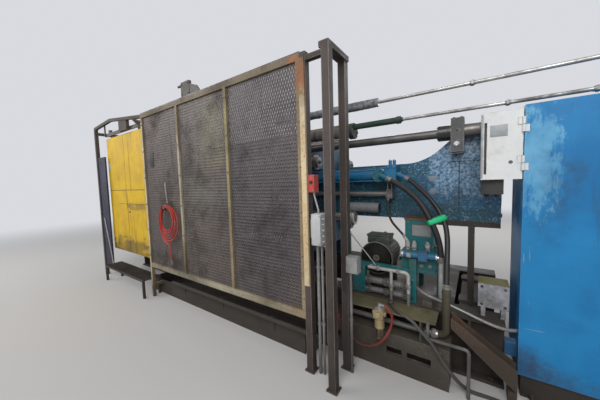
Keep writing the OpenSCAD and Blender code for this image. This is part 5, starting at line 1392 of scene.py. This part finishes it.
@dataclass
class LooseLines:
    """The free cables at the injection end."""

    shop: Workshop
    cable: tuple[Point, ...] = (
        (1.195, -0.8, 0.501), (1.208, -0.822, 0.506), (1.228, -0.852, 0.511), (1.255, -0.888, 0.515),
        (1.285, -0.918, 0.518), (1.318, -0.94, 0.517), (1.354, -0.95, 0.508), (1.4, -0.951, 0.48),
        (1.442, -0.95, 0.436), (1.482, -0.949, 0.397), (1.519, -0.949, 0.358), (1.556, -0.948, 0.307),
        (1.591, -0.946, 0.252), (1.627, -0.94, 0.197), (1.66, -0.926, 0.146), (1.698, -0.902, 0.092),
        (1.738, -0.876, 0.048), (1.785, -0.856, 0.021), (1.835, -0.846, 0.014), (1.885, -0.842, 0.0136),
        (1.935, -0.842, 0.0136), (1.985, -0.843, 0.0136), (2.035, -0.838, 0.0136), (2.08, -0.815, 0.0136),
        (2.112, -0.776, 0.014), (2.128, -0.728, 0.017), (2.132, -0.6795, 0.024))
    cable_radius: float = 0.0128
    armour: tuple[Point, ...] = (
        (1.3655, -0.64, 0.642), (1.382, -0.652, 0.637), (1.404, -0.668, 0.63), (1.432, -0.682, 0.622),
        (1.465, -0.691, 0.613), (1.505, -0.695, 0.603), (1.55, -0.696, 0.592), (1.6, -0.697, 0.579),
        (1.65, -0.697, 0.565), (1.71, -0.697, 0.546), (1.77, -0.697, 0.527), (1.83, -0.697, 0.508),
        (1.886, -0.696, 0.492), (1.94, -0.694, 0.481), (1.985, -0.688, 0.476), (2.02, -0.677, 0.475),
        (2.0495, -0.662, 0.476))
    armour_radius: float = 0.0115

    def build(self) -> None:
        """Lays the cable to the cabinet and the armoured line above the chute."""
        bench = self.shop.bench
        cable = self.shop.finish("floor_cable", bench.line("floor_cable", self.cable, self.cable_radius),
                                 Coat.GREY_CABLE)
        gland = Part("cable_gland", Coat.DARK_METAL, Turned(
            [((1.172, -0.762, 0.501), (0.52, -0.85, 0.0))],
            ((0.0, 0.013), (0.003, 0.018), (0.018, 0.018), (0.02, 0.0145), (0.05, 0.0135)), 20),
            Slab((1.15, -0.78, 0.487), (1.19, -0.735, 0.52), 0.003)).build(self.shop)
        curve_length(self.cable)
        line = self.shop.finish("armoured_line", bench.line("armoured_line", self.armour, self.armour_radius),
                                Coat.SILVER)
        band = Turned(spots(0, 0, -0.0026, UP), ((0.0, 0.0112), (0.0006, 0.0134), (0.0046, 0.0134),
                                                 (0.0052, 0.0112)), 14)
        moves = [pose(place, after - before)
                 for before, place, after in neighbours(denser(denser(self.armour)))[2:-2]]
        rings = Part("armoured_line_rings", Coat.SILVER, Copies((band,), moves)).build(self.shop)
        curve_length(self.armour)


SIXTHS = tuple(math.tau * i / 6 for i in range(6))
TWELFTHS = tuple(math.tau * (i + 0.5) / 6 for i in range(6))


def tape_turn() -> Matrix:
    """The move that sets the tape square to the two pressure hoses."""
    z = Vector((-0.43, 0.08, 0.9)).normalized()
    y = z.cross(Vector((0.9, 0.4, 0.0))).normalized()
    return Matrix.Translation((1.519, -0.626, 1.252)) @ Matrix((y.cross(z), y, z)).transposed().to_4x4()


def lumpy_profile() -> Profile:
    """The profile of the upper line's lumpy wrapping."""
    chance = random.Random(7)
    lumps = [(step * 0.0215, 0.0405 + chance.random() * 0.0042) for step in range(1, 58)]
    return [(0.0, 0.0405), *lumps, (1.258, 0.041), (1.262, 0.02)]


HOSE_TAPE = Part("hose_tape", Coat.GREEN_TAPE, Copies(
    (Slab((-0.079, -0.03, -0.027), (0.079, 0.03, 0.027), 0.0225, 5),), [tape_turn()]))

# Injection end above the bed
SHOT_END = (
    Part("clamp_hole_ring", Coat.DARK_METAL, Turned(spots(1.649, -0.467, 1.997, FRONT), (
        (0.0, 0.021), (0.003, 0.0215), (0.004, 0.0195), (0.004, 0.0155), (-0.005, 0.015)), 28)),
    Part("clamp_bolt", Coat.BRIGHT, Fasteners(HEX, 0.02, spots(1.645, -0.4752, 1.889, FRONT))),
    Part("clamp_top_bolts", Coat.DARK_METAL,
         Fasteners(HEX, 0.012, spots((1.622, 1.676), (-0.44, -0.36), 2.107, UP))),
    Part("collar_screws", Coat.DARK_METAL,
         Fasteners(SOCKET, 0.008, ring((1.4995, -0.4, 1.997), 0.054, SIXTHS, LEFT))),
    Part("head_bolts", Coat.SILVER,
         Fasteners(SOCKET, 0.013, spots((1.085, 1.138), -0.495, (1.603, 1.728), FRONT))),
    Part("boss_screws", Coat.DARK_METAL,
         Fasteners(SOCKET, 0.01, ring((0.998, -0.5202, 1.647), 0.05, TWELFTHS, FRONT))),
    Part("head_top_nuts", Coat.BRIGHT, Fasteners(HEX, 0.011, spots((1.09, 1.128), -0.44, 1.7905, UP))),
    Part("tie_rod_nuts", Coat.DARK_METAL,
         Fasteners(HEX, 0.009, spots(1.0505, -0.484, (1.595, 1.719), RIGHT))),
    Part("pull_back_gland_nut", Coat.BRIGHT, Turned(spots(0.655, -0.46, 1.205, RIGHT), (
        (0.0, 0.066), (0.004, 0.072), (0.02, 0.072), (0.022, 0.066), (0.05, 0.066), (0.054, 0.071),
        (0.0745, 0.071), (0.0755, 0.066), (0.0755, 0.046), (0.066, 0.044)), 12)),
    Part("rod_block_screws", Coat.DARK_METAL,
         Fasteners(SOCKET, 0.008, spots((1.06, 1.092), -0.4355, (1.43, 1.494), FRONT))),
    Part("cover_end_cap", Coat.BLACK, Turned(spots(0.968, -0.398, 1.316, RIGHT), (
        (0.0, 0.0525), (0.0018, 0.0525), (0.0018, 0.049), (-0.012, 0.049), (-0.012, 0.03)), 32)),
    Part("side_plate_bolts", Coat.CHIPPED_BLUE, Fasteners(
        HEX, 0.016, spots(0.19, -0.3305, (1.255, 1.36, 1.71), FRONT)
        + spots((0.42, 0.78, 1.1, 1.4, 1.72, 1.92), -0.3305, 1.24, FRONT)
        + spots((0.25, 0.6, 0.95, 1.3, 1.65, 1.92), 0.3305, 1.24, BACK)
        + spots((0.25, 0.6, 0.95, 1.65, 1.92), 0.3305, 1.7, BACK))),
    Part("head_end_bolts", Coat.DARK_METAL,
         Fasteners(HEX, 0.02, spots(1.9605, (-0.2, 0.2), (1.26, 1.5, 1.82), RIGHT))),
    Part("platen_bolts", Coat.DARK_METAL, Fasteners(
        HEX, 0.022, spots(0.1505, (-0.59, 0.59), (0.86, 1.15, 1.65, 1.94), RIGHT)
        + spots(-3.1505, (-0.59, 0.59), (0.86, 1.15, 1.65, 1.94), LEFT))),
    Part("blank_round_plates", Coat.BARE_SPOT, Turned(
        spots(1.451, -0.33, 1.48, FRONT) + spots(1.447, -0.33, 1.6, FRONT),
        ((0.0, 0.03), (0.003, 0.03), (0.004, 0.027)), 28)),
    Part("bottle_flange_bolts", Coat.DARK_METAL, Fasteners(HEX, 0.011, ring(
        (0.7102, -0.4, 2.135), 0.07, [math.radians(turn) for turn in (-172, -132, -90, -48, -8, 172)],
        RIGHT))),
    Part("bottle_bands", Coat.DARK_METAL, Turned(spots((-0.62, -0.2, 0.22, 0.56), -0.4, 2.135, RIGHT), (
        (0.0, 0.0582), (0.001, 0.0605), (0.031, 0.0605), (0.032, 0.0582)), 36)),
    Part("green_line_end", Coat.GREEN_LINE, Turned(spots(1.14, -0.4, 2.177, RIGHT), (
        (0.0, 0.0305), (0.003, 0.0355), (0.04, 0.0355), (0.043, 0.031), (0.05, 0.021), (0.062, 0.02)), 24)),
    Part("line_wrapping", Coat.WRAPPING, Turned(spots(-0.252, -0.54, 2.342, RIGHT), lumpy_profile(), 24)),
    Part("line_union_nuts", Coat.SILVER, Fasteners(
        UNION, 0.015, spots((1.98, 2.45), -0.4, 2.177, RIGHT) + spots((1.75, 2.55), -0.54, 2.342, RIGHT)
        + spots((2.75, 2.87), 0.48, 1.5, UP))),
    Part("tank_line_flanges", Coat.DARK_METAL, Turned(spots((2.75, 2.87), 0.48, 1.3, UP), (
        (0.0, 0.046), (0.012, 0.046), (0.014, 0.04), (0.014, 0.022), (0.04, 0.02)), 28)),
)

MOTOR_X = 0.985
MOTOR_FACE = -0.57
MOTOR_Z = 0.835


def grille_forms() -> list[Form]:
    """The motor's four grille rings and the bars across them."""
    forms: list[Form] = [
        Turned(spots(MOTOR_X, MOTOR_FACE + 0.004, MOTOR_Z, FRONT),
               ((0.0, r - 0.004), (0.004, r - 0.004), (0.006, r), (0.004, r + 0.004), (0.0, r + 0.004)), 48)
        for r in (0.056, 0.08, 0.104, 0.128)]
    middle = Vector((MOTOR_X, MOTOR_FACE + 0.0025, MOTOR_Z))
    for index in range(4):
        turn = math.pi * (index + 0.5) / 4
        way = Vector((math.cos(turn), 0.0, math.sin(turn))) * 0.151
        forms.append(Bar(tuple(middle - way), tuple(middle + way), 0.003))
    return forms


# Pump unit with its motor, pipes and valves
PUMP_UNIT = (
    Part("motor_hub", Coat.MOTOR, Turned(spots(MOTOR_X, MOTOR_FACE + 0.001, MOTOR_Z, FRONT), (
        (0.0, 0.036), (0.006, 0.036), (0.009, 0.032), (0.009, 0.02), (0.004, 0.018)), 32)),
    Part("motor_rim", Coat.MOTOR, Turned(spots(MOTOR_X, MOTOR_FACE - 0.0012, MOTOR_Z, FRONT), (
        (0.0, 0.1625), (0.004, 0.16), (0.006, 0.154), (0.004, 0.149), (0.0, 0.148)), 64)),
    Part("motor_grille", Coat.OILY_PIPE, *grille_forms()),
    Part("motor_screws", Coat.DARK_METAL,
         Fasteners(SOCKET, 0.007, ring((MOTOR_X, -0.525, MOTOR_Z), 0.1625, TWELFTHS, FRONT, outward=True))),
    Part("terminal_box", Coat.MOTOR, Slab((0.858, -0.46, 0.955), (1.082, -0.31, 1.022), 0.006),
         Slab((0.85, -0.466, 1.021), (1.09, -0.304, 1.046), 0.009, 3)),
    Part("terminal_box_screws", Coat.SILVER,
         Fasteners(SOCKET, 0.006, spots((0.866, 1.074), (-0.45, -0.32), 1.0462, UP))),
    Part("motor_eye", Coat.DARK_METAL, Pipe([spot[0] for spot in ring(
        (MOTOR_X, -0.25, 1.016), 0.021, [math.tau * i / 16 for i in range(17)], FRONT)], 0.0055)),
    Part("white_pipe_nuts", Coat.SILVER, Fasteners(
        UNION, 0.016, spots((1.045, 1.225), -0.7, 0.78, RIGHT) + spots(1.31, -0.7, 0.66, UP)
        + spots(1.163, -0.7, 0.64, UP))),
    Part("thick_pipe_collars_upper", Coat.OILY_PIPE,
         Fasteners(UNION, 0.02752, spots((0.935, 1.1, 1.265), -0.625, 0.63, RIGHT))),
    Part("thick_pipe_collars_lower", Coat.OILY_PIPE,
         Fasteners(UNION, 0.02408, spots((0.935, 1.1, 1.265), -0.625, 0.535, RIGHT))),
    Part("olive_pipe_collar", Coat.UNIT_PIPES, Turned(spots(1.606, -0.79, 0.7, UP), (
        (0.0, 0.0295), (0.002, 0.0335), (0.018, 0.0335), (0.02, 0.0305), (0.033, 0.0295)), 24)),
    Part("bright_union", Coat.BRIGHT, Fasteners(UNION, 0.0245, spots((1.47, 1.52), -0.79, 0.352, RIGHT))),
    Part("hose_foot_flange", Coat.OILY_PIPE, Turned(spots(1.555, -0.65, 0.5, UP), (
        (0.0, 0.034), (0.012, 0.034), (0.014, 0.028), (0.04, 0.026), (0.042, 0.0205)), 24)),
    Part("slanted_rod", Coat.SILVER, Bar((0.752, -0.664, 1.088), (1.022, -0.7, 0.806), 0.0055)),
    Part("slanted_rod_stand", Coat.TEAL, Slab((0.742, -0.664, 0.78), (0.76, -0.65, 1.096), 0.002)),
    Part("valve_stem_nuts", Coat.BRIGHT,
         Turned(spots((1.275, 1.33, 1.44), -0.558, 0.972, UP),
                ((0.0, 0.024), (0.002, 0.027), (0.016, 0.027), (0.018, 0.023)), 6),
         Turned(spots((1.275, 1.33, 1.44), -0.558, 1.016, UP),
                ((0.0, 0.0165), (0.001, 0.019), (0.013, 0.019), (0.014, 0.015)), 6)),
    Part("panel_rim", Coat.TEAL,
         *(Slab((x, -0.5125, 1.073), (x + 0.006, -0.5095, 1.191), 0.001) for x in (1.295, 1.461)),
         *(Slab((1.295, -0.5125, z), (1.467, -0.5095, z + 0.006), 0.001) for z in (1.071, 1.187))),
    Part("tower_screws", Coat.SILVER,
         Fasteners(SOCKET, 0.01, spots((1.27, 1.474), -0.511, (0.99, 1.21), FRONT))),
    Part("valve_block_screws", Coat.DARK_METAL,
         Fasteners(SOCKET, 0.013, spots((1.25, 1.51), -0.6005, (0.805, 0.9), FRONT))),
    Part("valve_block_plugs", Coat.SILVER, Fasteners(HEX, 0.017, spots((1.4, 1.465), -0.6005, 0.835, FRONT))),
    Part("spool_end_nuts", Coat.BRIGHT, Turned(
        spots(1.517, -0.657, 0.938, RIGHT) + spots(1.261, -0.657, 0.938, LEFT),
        ((0.0, 0.0275), (0.002, 0.029), (0.01, 0.029), (0.012, 0.018), (0.024, 0.017), (0.026, 0.012)), 24)),
    Part("spool_valve_screws", Coat.DARK_METAL,
         Fasteners(SOCKET, 0.007, spots((1.397, 1.443), -0.6955, (0.912, 0.964), FRONT))),
    Part("spool_plug", Coat.BOX_GREY, Slab((1.292, -0.712, 0.925), (1.33, -0.684, 0.962), 0.004)),
    Part("portal_bolts", Coat.DARK_METAL, Fasteners(
        HEX, 0.012, spots((0.795, 0.875), -0.6505, (0.545, 0.745), FRONT)
        + spots(1.335, -0.6505, (0.545, 0.7, 0.86), FRONT))),
    Part("small_deck_block", Coat.STEP, Slab((1.415, -0.672, 0.4995), (1.495, -0.606, 0.545), 0.004)),
)

AIR_X = 1.144
AIR_Y = -0.99
BOWL_TURNS = [Matrix.Translation((AIR_X, AIR_Y, 0)) @ Matrix.Rotation(angle, 4, "Z") for angle in SIXTHS]

# Air regulator
AIR_UNIT = (
    Part("regulator_rings", Coat.BRASS, Turned(spots(AIR_X, AIR_Y, (0.389, 0.41, 0.431, 0.455), UP), (
        (0.0, 0.0375), (0.001, 0.0402), (0.007, 0.0402), (0.008, 0.0375)), 32)),
    Part("regulator_bonnet", Coat.BRASS, Turned(spots(AIR_X, AIR_Y, 0.54, UP), (
        (0.0, 0.033), (0.004, 0.034), (0.012, 0.034), (0.016, 0.026), (0.017, 0.0136)), 8)),
    Part("bowl_guard", Coat.BOWL,
         Copies((Slab((-0.0025, -0.0335, 0.3), (0.0025, -0.0305, 0.385), 0.0008),), BOWL_TURNS),
         Turned(spots(AIR_X, AIR_Y, 0.293, UP),
         ((0.0, 0.012), (0.004, 0.022), (0.008, 0.0335), (0.014, 0.0335)), 28),
         Turned(spots(AIR_X, AIR_Y, 0.283, UP), ((0.0, 0.006), (0.01, 0.006)), 12)),
    Part("pressure_gauge", Coat.BRASS, Turned(spots(AIR_X, AIR_Y - 0.0388, 0.506, FRONT), (
        (0.0, 0.008), (0.006, 0.008), (0.007, 0.0225), (0.016, 0.0235), (0.018, 0.0215), (0.0165, 0.0205)),
        32)),
    Part("regulator_side_nuts", Coat.BRASS, Fasteners(
        HEX, 0.02, spots(AIR_X - 0.039, AIR_Y, 0.505, LEFT) + spots(AIR_X + 0.039, AIR_Y, 0.505, RIGHT))),
    Part("regulator_screws", Coat.SILVER, Fasteners(
        SOCKET, 0.005, spots((AIR_X - 0.03, AIR_X + 0.03), AIR_Y - 0.0392, (0.478, 0.532), FRONT))),
)

POST_PLACES = ((0.655, -1.28), (0.909, -1.37), (0.899, -1.088))
CONDUITS = ((0.737, -1.27, 0.9, 0.016), (0.772, -1.265, 0.9, 0.012), (0.737, -1.27, 0.42, 0.016),
            (0.772, -1.265, 0.42, 0.012), (0.955, -1.125, 0.45, 0.014))
FOOT_HALF = 0.045
ANCHOR_OUT = 0.037


def lid_parts(name: str, low: Point, high: Point, coat: Coat) -> tuple[Part, Part]:
    """A raised lid with four screws on a box's front.

    Args:
        name: The box's name.
        low: Lowest corner of the lid.
        high: Highest corner of the lid.
        coat: Its finish.

    Returns:
        The lid and its screws.
    """
    places = spots((low[0] + 0.009, high[0] - 0.009), low[1], (low[2] + 0.01, high[2] - 0.01), FRONT)
    return (Part(f"{name}_lid", coat, Slab(low, high, 0.003)),
            Part(f"{name}_screws", Coat.SILVER, Fasteners(SOCKET, 0.0045, places)))


# Boxes and conduits on the portal posts
POST_FITTINGS = (
    *lid_parts("junction_box", (0.719, -1.336, 1.103), (0.803, -1.3295, 1.347), Coat.BOX_GREY),
    *lid_parts("small_box", (0.931, -1.166, 0.865), (1.027, -1.1595, 0.992), Coat.BOX_GREY),
    *lid_parts("switch_box", (0.687, -1.315, 1.523), (0.743, -1.3095, 1.657), Coat.SWITCH_RED),
    Part("switch_button", Coat.BLACK, Turned(spots(0.715, -1.315, 1.6, FRONT), (
        (0.0, 0.016), (0.003, 0.016), (0.003, 0.011), (0.012, 0.0125), (0.016, 0.01)), 24)),
    Part("conduit_clips", Coat.SILVER, *(
        Turned(spots(x, y, z, UP), ((0.0, r), (0.001, r + 0.0025), (0.017, r + 0.0025), (0.018, r)), 20)
        for x, y, z, r in CONDUITS)),
    Part("post_feet", Coat.POST, *(
        Slab((x - FOOT_HALF, y - FOOT_HALF, 0.0), (x + FOOT_HALF, y + FOOT_HALF, 0.01), 0.002)
        for x, y in POST_PLACES)),
    Part("post_anchors", Coat.DARK_METAL, Fasteners(HEX, 0.008, [
        ((x + out, y + out, 0.01), UP) for x, y in POST_PLACES for out in (-ANCHOR_OUT, ANCHOR_OUT)])),
)

GUARD_FACE = -1.3
STILES = (-2.083, -1.187, -0.291, 0.605)
CHAIN_TURN = math.radians(38)
CHAIN_MOVES = [Matrix.Translation((-1.562 + 0.0022 * step, -1.2905, 1.64 - 0.0185 * step))
               @ Matrix.Rotation(CHAIN_TURN if step % 2 else -CHAIN_TURN, 4, "Z") for step in range(14)]

# Operator guard and its sheet steel door
GUARD_TRIM = (
    Part("mesh_clips", Coat.CLIP, Copies(
        (Slab((-0.017, -0.01, 0.0), (0.017, 0.01, 0.003), 0.0008),
        Fasteners(HEX, 0.0055, spots(0, 0, 0.003, UP))),
        [pose(*spot) for spot in spots(STILES, GUARD_FACE, [0.62 + 0.37 * row for row in range(6)], FRONT)])),
    Part("rail_screws", Coat.CLIP, Fasteners(
        HEX, 0.006, spots([-1.95 + 0.3 * step for step in range(9)], GUARD_FACE, (0.478, 2.592), FRONT))),
    Part("mesh_patch_plate", Coat.BLACK, Slab((-1.93, -1.2865, 1.87), (-1.83, -1.2835, 2.07), 0.001)),
    Part("leaning_rod", Coat.PLATE, Bar((-3.44, -1.316, 0.276), (-3.73, -1.303, 1.067), 0.0085)),
    Part("end_panel_bolts", Coat.DARK_METAL,
         Fasteners(HEX, 0.008, spots((-3.83, -3.57), -1.292, (0.26, 0.72, 1.18, 1.64, 2.09), FRONT))),
    Part("end_panel_strip", Coat.NAVY, Slab((-3.848, -1.2945, 1.56), (-3.546, -1.292, 1.578), 0.0008)),
    Part("hook_chain", Coat.BRIGHT, Copies((Link(),), CHAIN_MOVES),
         Fasteners(HEX, 0.008, spots(-1.562, -1.283, 1.652, FRONT))),
    Part("beam_valve_cap", Coat.DARK_METAL,
         Turned(spots(-0.965, -1.2825, 2.7915, UP), ((0.0, 0.0165), (0.0005, 0.0165)), 20)),
    Part("beam_valve_screws", Coat.DARK_METAL,
         Fasteners(SOCKET, 0.008, spots((-1.025, -0.905), -1.3002, (2.655, 2.765), FRONT))),
    Part("door_buffer", Coat.BLACK, Slab((-2.86, -1.2385, 1.197), (-2.8, -1.2345, 1.217), 0.001),
         body=Body.DOOR),
    Part("door_blank_plate", Coat.PLATE, Slab((-3.52, -1.2375, 1.93), (-3.455, -1.2345, 2.01), 0.001),
         body=Body.DOOR),
    Part("door_rivets", Coat.YELLOW, Fasteners(
        SOCKET, 0.006, spots((-3.545, -2.245), -1.2352, (0.6, 0.98, 1.36, 1.74, 2.12, 2.42), FRONT)),
        body=Body.DOOR),
    Part("door_sheet_joint", Coat.YELLOW, Slab((-2.905, -1.2372, 0.534), (-2.893, -1.2345, 2.456), 0.001),
         body=Body.DOOR),
)

# Cabinet, white box and oil tank
ELECTRICS = (
    Part("cabinet_door_leaf", Coat.CABINET, Slab((2.5, -0.716, 0.205), (3.035, -0.7002, 2.045), 0.006, 3)),
    Part("cabinet_hinges", Coat.DARK_METAL, Turned(spots(2.493, -0.71, (0.34, 1.1, 1.84), UP), (
        (0.0, 0.006), (0.001, 0.0075), (0.069, 0.0075), (0.07, 0.006)), 16)),
    Part("cabinet_handle", Coat.BLACK, Slab((2.965, -0.722, 1.02), (3.005, -0.7155, 1.22), 0.003),
         Slab((2.976, -0.738, 1.035), (2.994, -0.724, 1.165), 0.004, 3),
         Bar((2.985, -0.721, 1.15), (2.985, -0.73, 1.15), 0.009)),
    Part("cabinet_vents", Coat.CABINET, *(
        Slab((2.62, -0.7195, 0.3 + 0.022 * row), (2.92, -0.7155, 0.31 + 0.022 * row),
        0.0015) for row in range(10))),
    Part("cabinet_side_screws", Coat.DARK_METAL,
         Fasteners(HEX, 0.008, spots(3.0502, (-0.66, -0.14), (0.25, 1.12, 2.0), RIGHT))),
    Part("lid_blank_plate", Coat.PLATE, Slab((1.862, -0.7015, 1.884), (1.96, -0.699, 1.966), 0.0006),
         body=Body.BOX_LID),
    Part("lid_edge_strip", Coat.PLATE, Slab((1.8105, -0.7025, 1.59), (1.8225, -0.699, 2.05), 0.001),
         body=Body.BOX_LID),
    Part("lid_lock", Coat.DARK_METAL, Turned(spots(1.98, -0.7, 1.7, FRONT), (
        (0.0, 0.012), (0.002, 0.012), (0.003, 0.01), (0.003, 0.005), (0.001, 0.0045)), 20),
        body=Body.BOX_LID),
    Part("box_glands", Coat.BLACK, Turned(spots((1.85, 1.91), -0.585, 1.47, DOWN), (
        (0.0, 0.016), (0.004, 0.019), (0.014, 0.019), (0.017, 0.013), (0.024, 0.011)), 6)),
    Part("tank_cover", Coat.MACHINE, Slab((2.42, 1.0495, 0.42), (2.98, 1.06, 1.05), 0.003)),
    Part("tank_cover_bolts", Coat.DARK_METAL, Fasteners(
        HEX, 0.012,
        spots((2.45, 2.95), 1.0602, (0.45, 0.735, 1.02), BACK) + spots(2.7, 1.0602, (0.45, 1.02), BACK))),
    Part("tank_level_gauge", Coat.BOX_GREY, Slab((3.1495, 0.56, 0.6), (3.158, 0.6, 0.95), 0.003)),
    Part("tank_breather", Coat.BLACK, Turned(spots(2.45, 0.65, 1.389, UP), (
        (0.0, 0.06), (0.002, 0.068), (0.028, 0.068), (0.036, 0.058), (0.038, 0.03)), 16)),
    Part("tank_drain_plug", Coat.DARK_METAL, Fasteners(HEX, 0.02, spots(2.7, 0.1498, 0.2, FRONT))),
)

PIN_X = (-2.815, -2.335, -1.735)
PIN_SPOTS = spots(PIN_X, -0.3105, (1.15, 1.65), FRONT) + spots(PIN_X, 0.3105, (1.15, 1.65), BACK)

# Bed, chute, support block and closing end
BED_TRIM = (
    Part("anchor_nuts", Coat.DARK_METAL, Fasteners(HEX, 0.02, spots((-3.7, 1.9), (-0.64, 0.64), 0.025, UP))),
    Part("rail_top_bolts", Coat.DARK_METAL,
         Fasteners(HEX, 0.016, spots((-2.0, -1.2, -0.4, 0.4), (-0.652, 0.652), 0.5, UP))),
    Part("bright_rod_on_step", Coat.BRIGHT, Bar((1.185, -0.706, 0.3292), (1.42, -0.768, 0.3292), 0.009)),
    Part("step_bolts", Coat.DARK_METAL,
         Fasteners(HEX, 0.009, spots((0.6, 0.84, 1.1, 1.58), -0.9305, (0.06, 0.285), FRONT))),
    Part("chute_bolts", Coat.CHUTE, Fasteners(HEX, 0.008, [
        ((x, -0.8102, 0.48 - (x - 1.64) * 0.78), FRONT) for x in (1.68, 1.8, 1.92, 2.0)])),
    Part("support_block_pad", Coat.OLIVE_PAD, Slab((1.811, -0.599, 0.7645), (2.004, -0.431, 0.7695), 0.002)),
    Part("support_block_bolts", Coat.DARK_METAL,
         Fasteners(HEX, 0.01, spots((1.835, 1.98), -0.6002, (0.6, 0.74), FRONT))),
    Part("closing_tie_nuts", Coat.DARK_METAL,
         Fasteners(HEX, 0.013, spots(-3.836, (-0.165, 0.165), (1.235, 1.565), LEFT))),
    Part("toggle_pin_caps", Coat.DARK_METAL, Copies(
        (Turned(spots(0, 0, 0, UP),
        ((0.0, 0.04), (0.004, 0.043), (0.008, 0.043), (0.008, 0.034), (0.003, 0.032)),
                28),), [pose(*spot) for spot in PIN_SPOTS])),
    Part("closing_ports", Coat.SILVER, Turned(spots((-3.7, -3.26), -0.1, 1.545, UP), (
        (0.0, 0.04), (0.02, 0.04), (0.022, 0.032), (0.05, 0.03), (0.052, 0.02)), 6)),
    Part("tie_bar_end_screws", Coat.DARK_METAL,
         Fasteners(SOCKET, 0.022, spots(0.3002, (-0.46, 0.46), (0.97, 1.83), RIGHT))),
)


def main() -> None:
    """Builds the studio, dresses the machine and adds its finer pieces."""
    logging.basicConfig(level=logging.INFO, format="%(message)s")
    Studio().set_up()
    shop = Workshop()
    Hoses(shop).build()
    HOSE_TAPE.build(shop)
    for maker in (HookCoil, LooseLines, MeshBays):
        maker(shop).build()
    for part in SHOT_END + PUMP_UNIT + AIR_UNIT + POST_FITTINGS + GUARD_TRIM + ELECTRICS + BED_TRIM:
        part.build(shop)


if __name__ == "__main__":
    main()
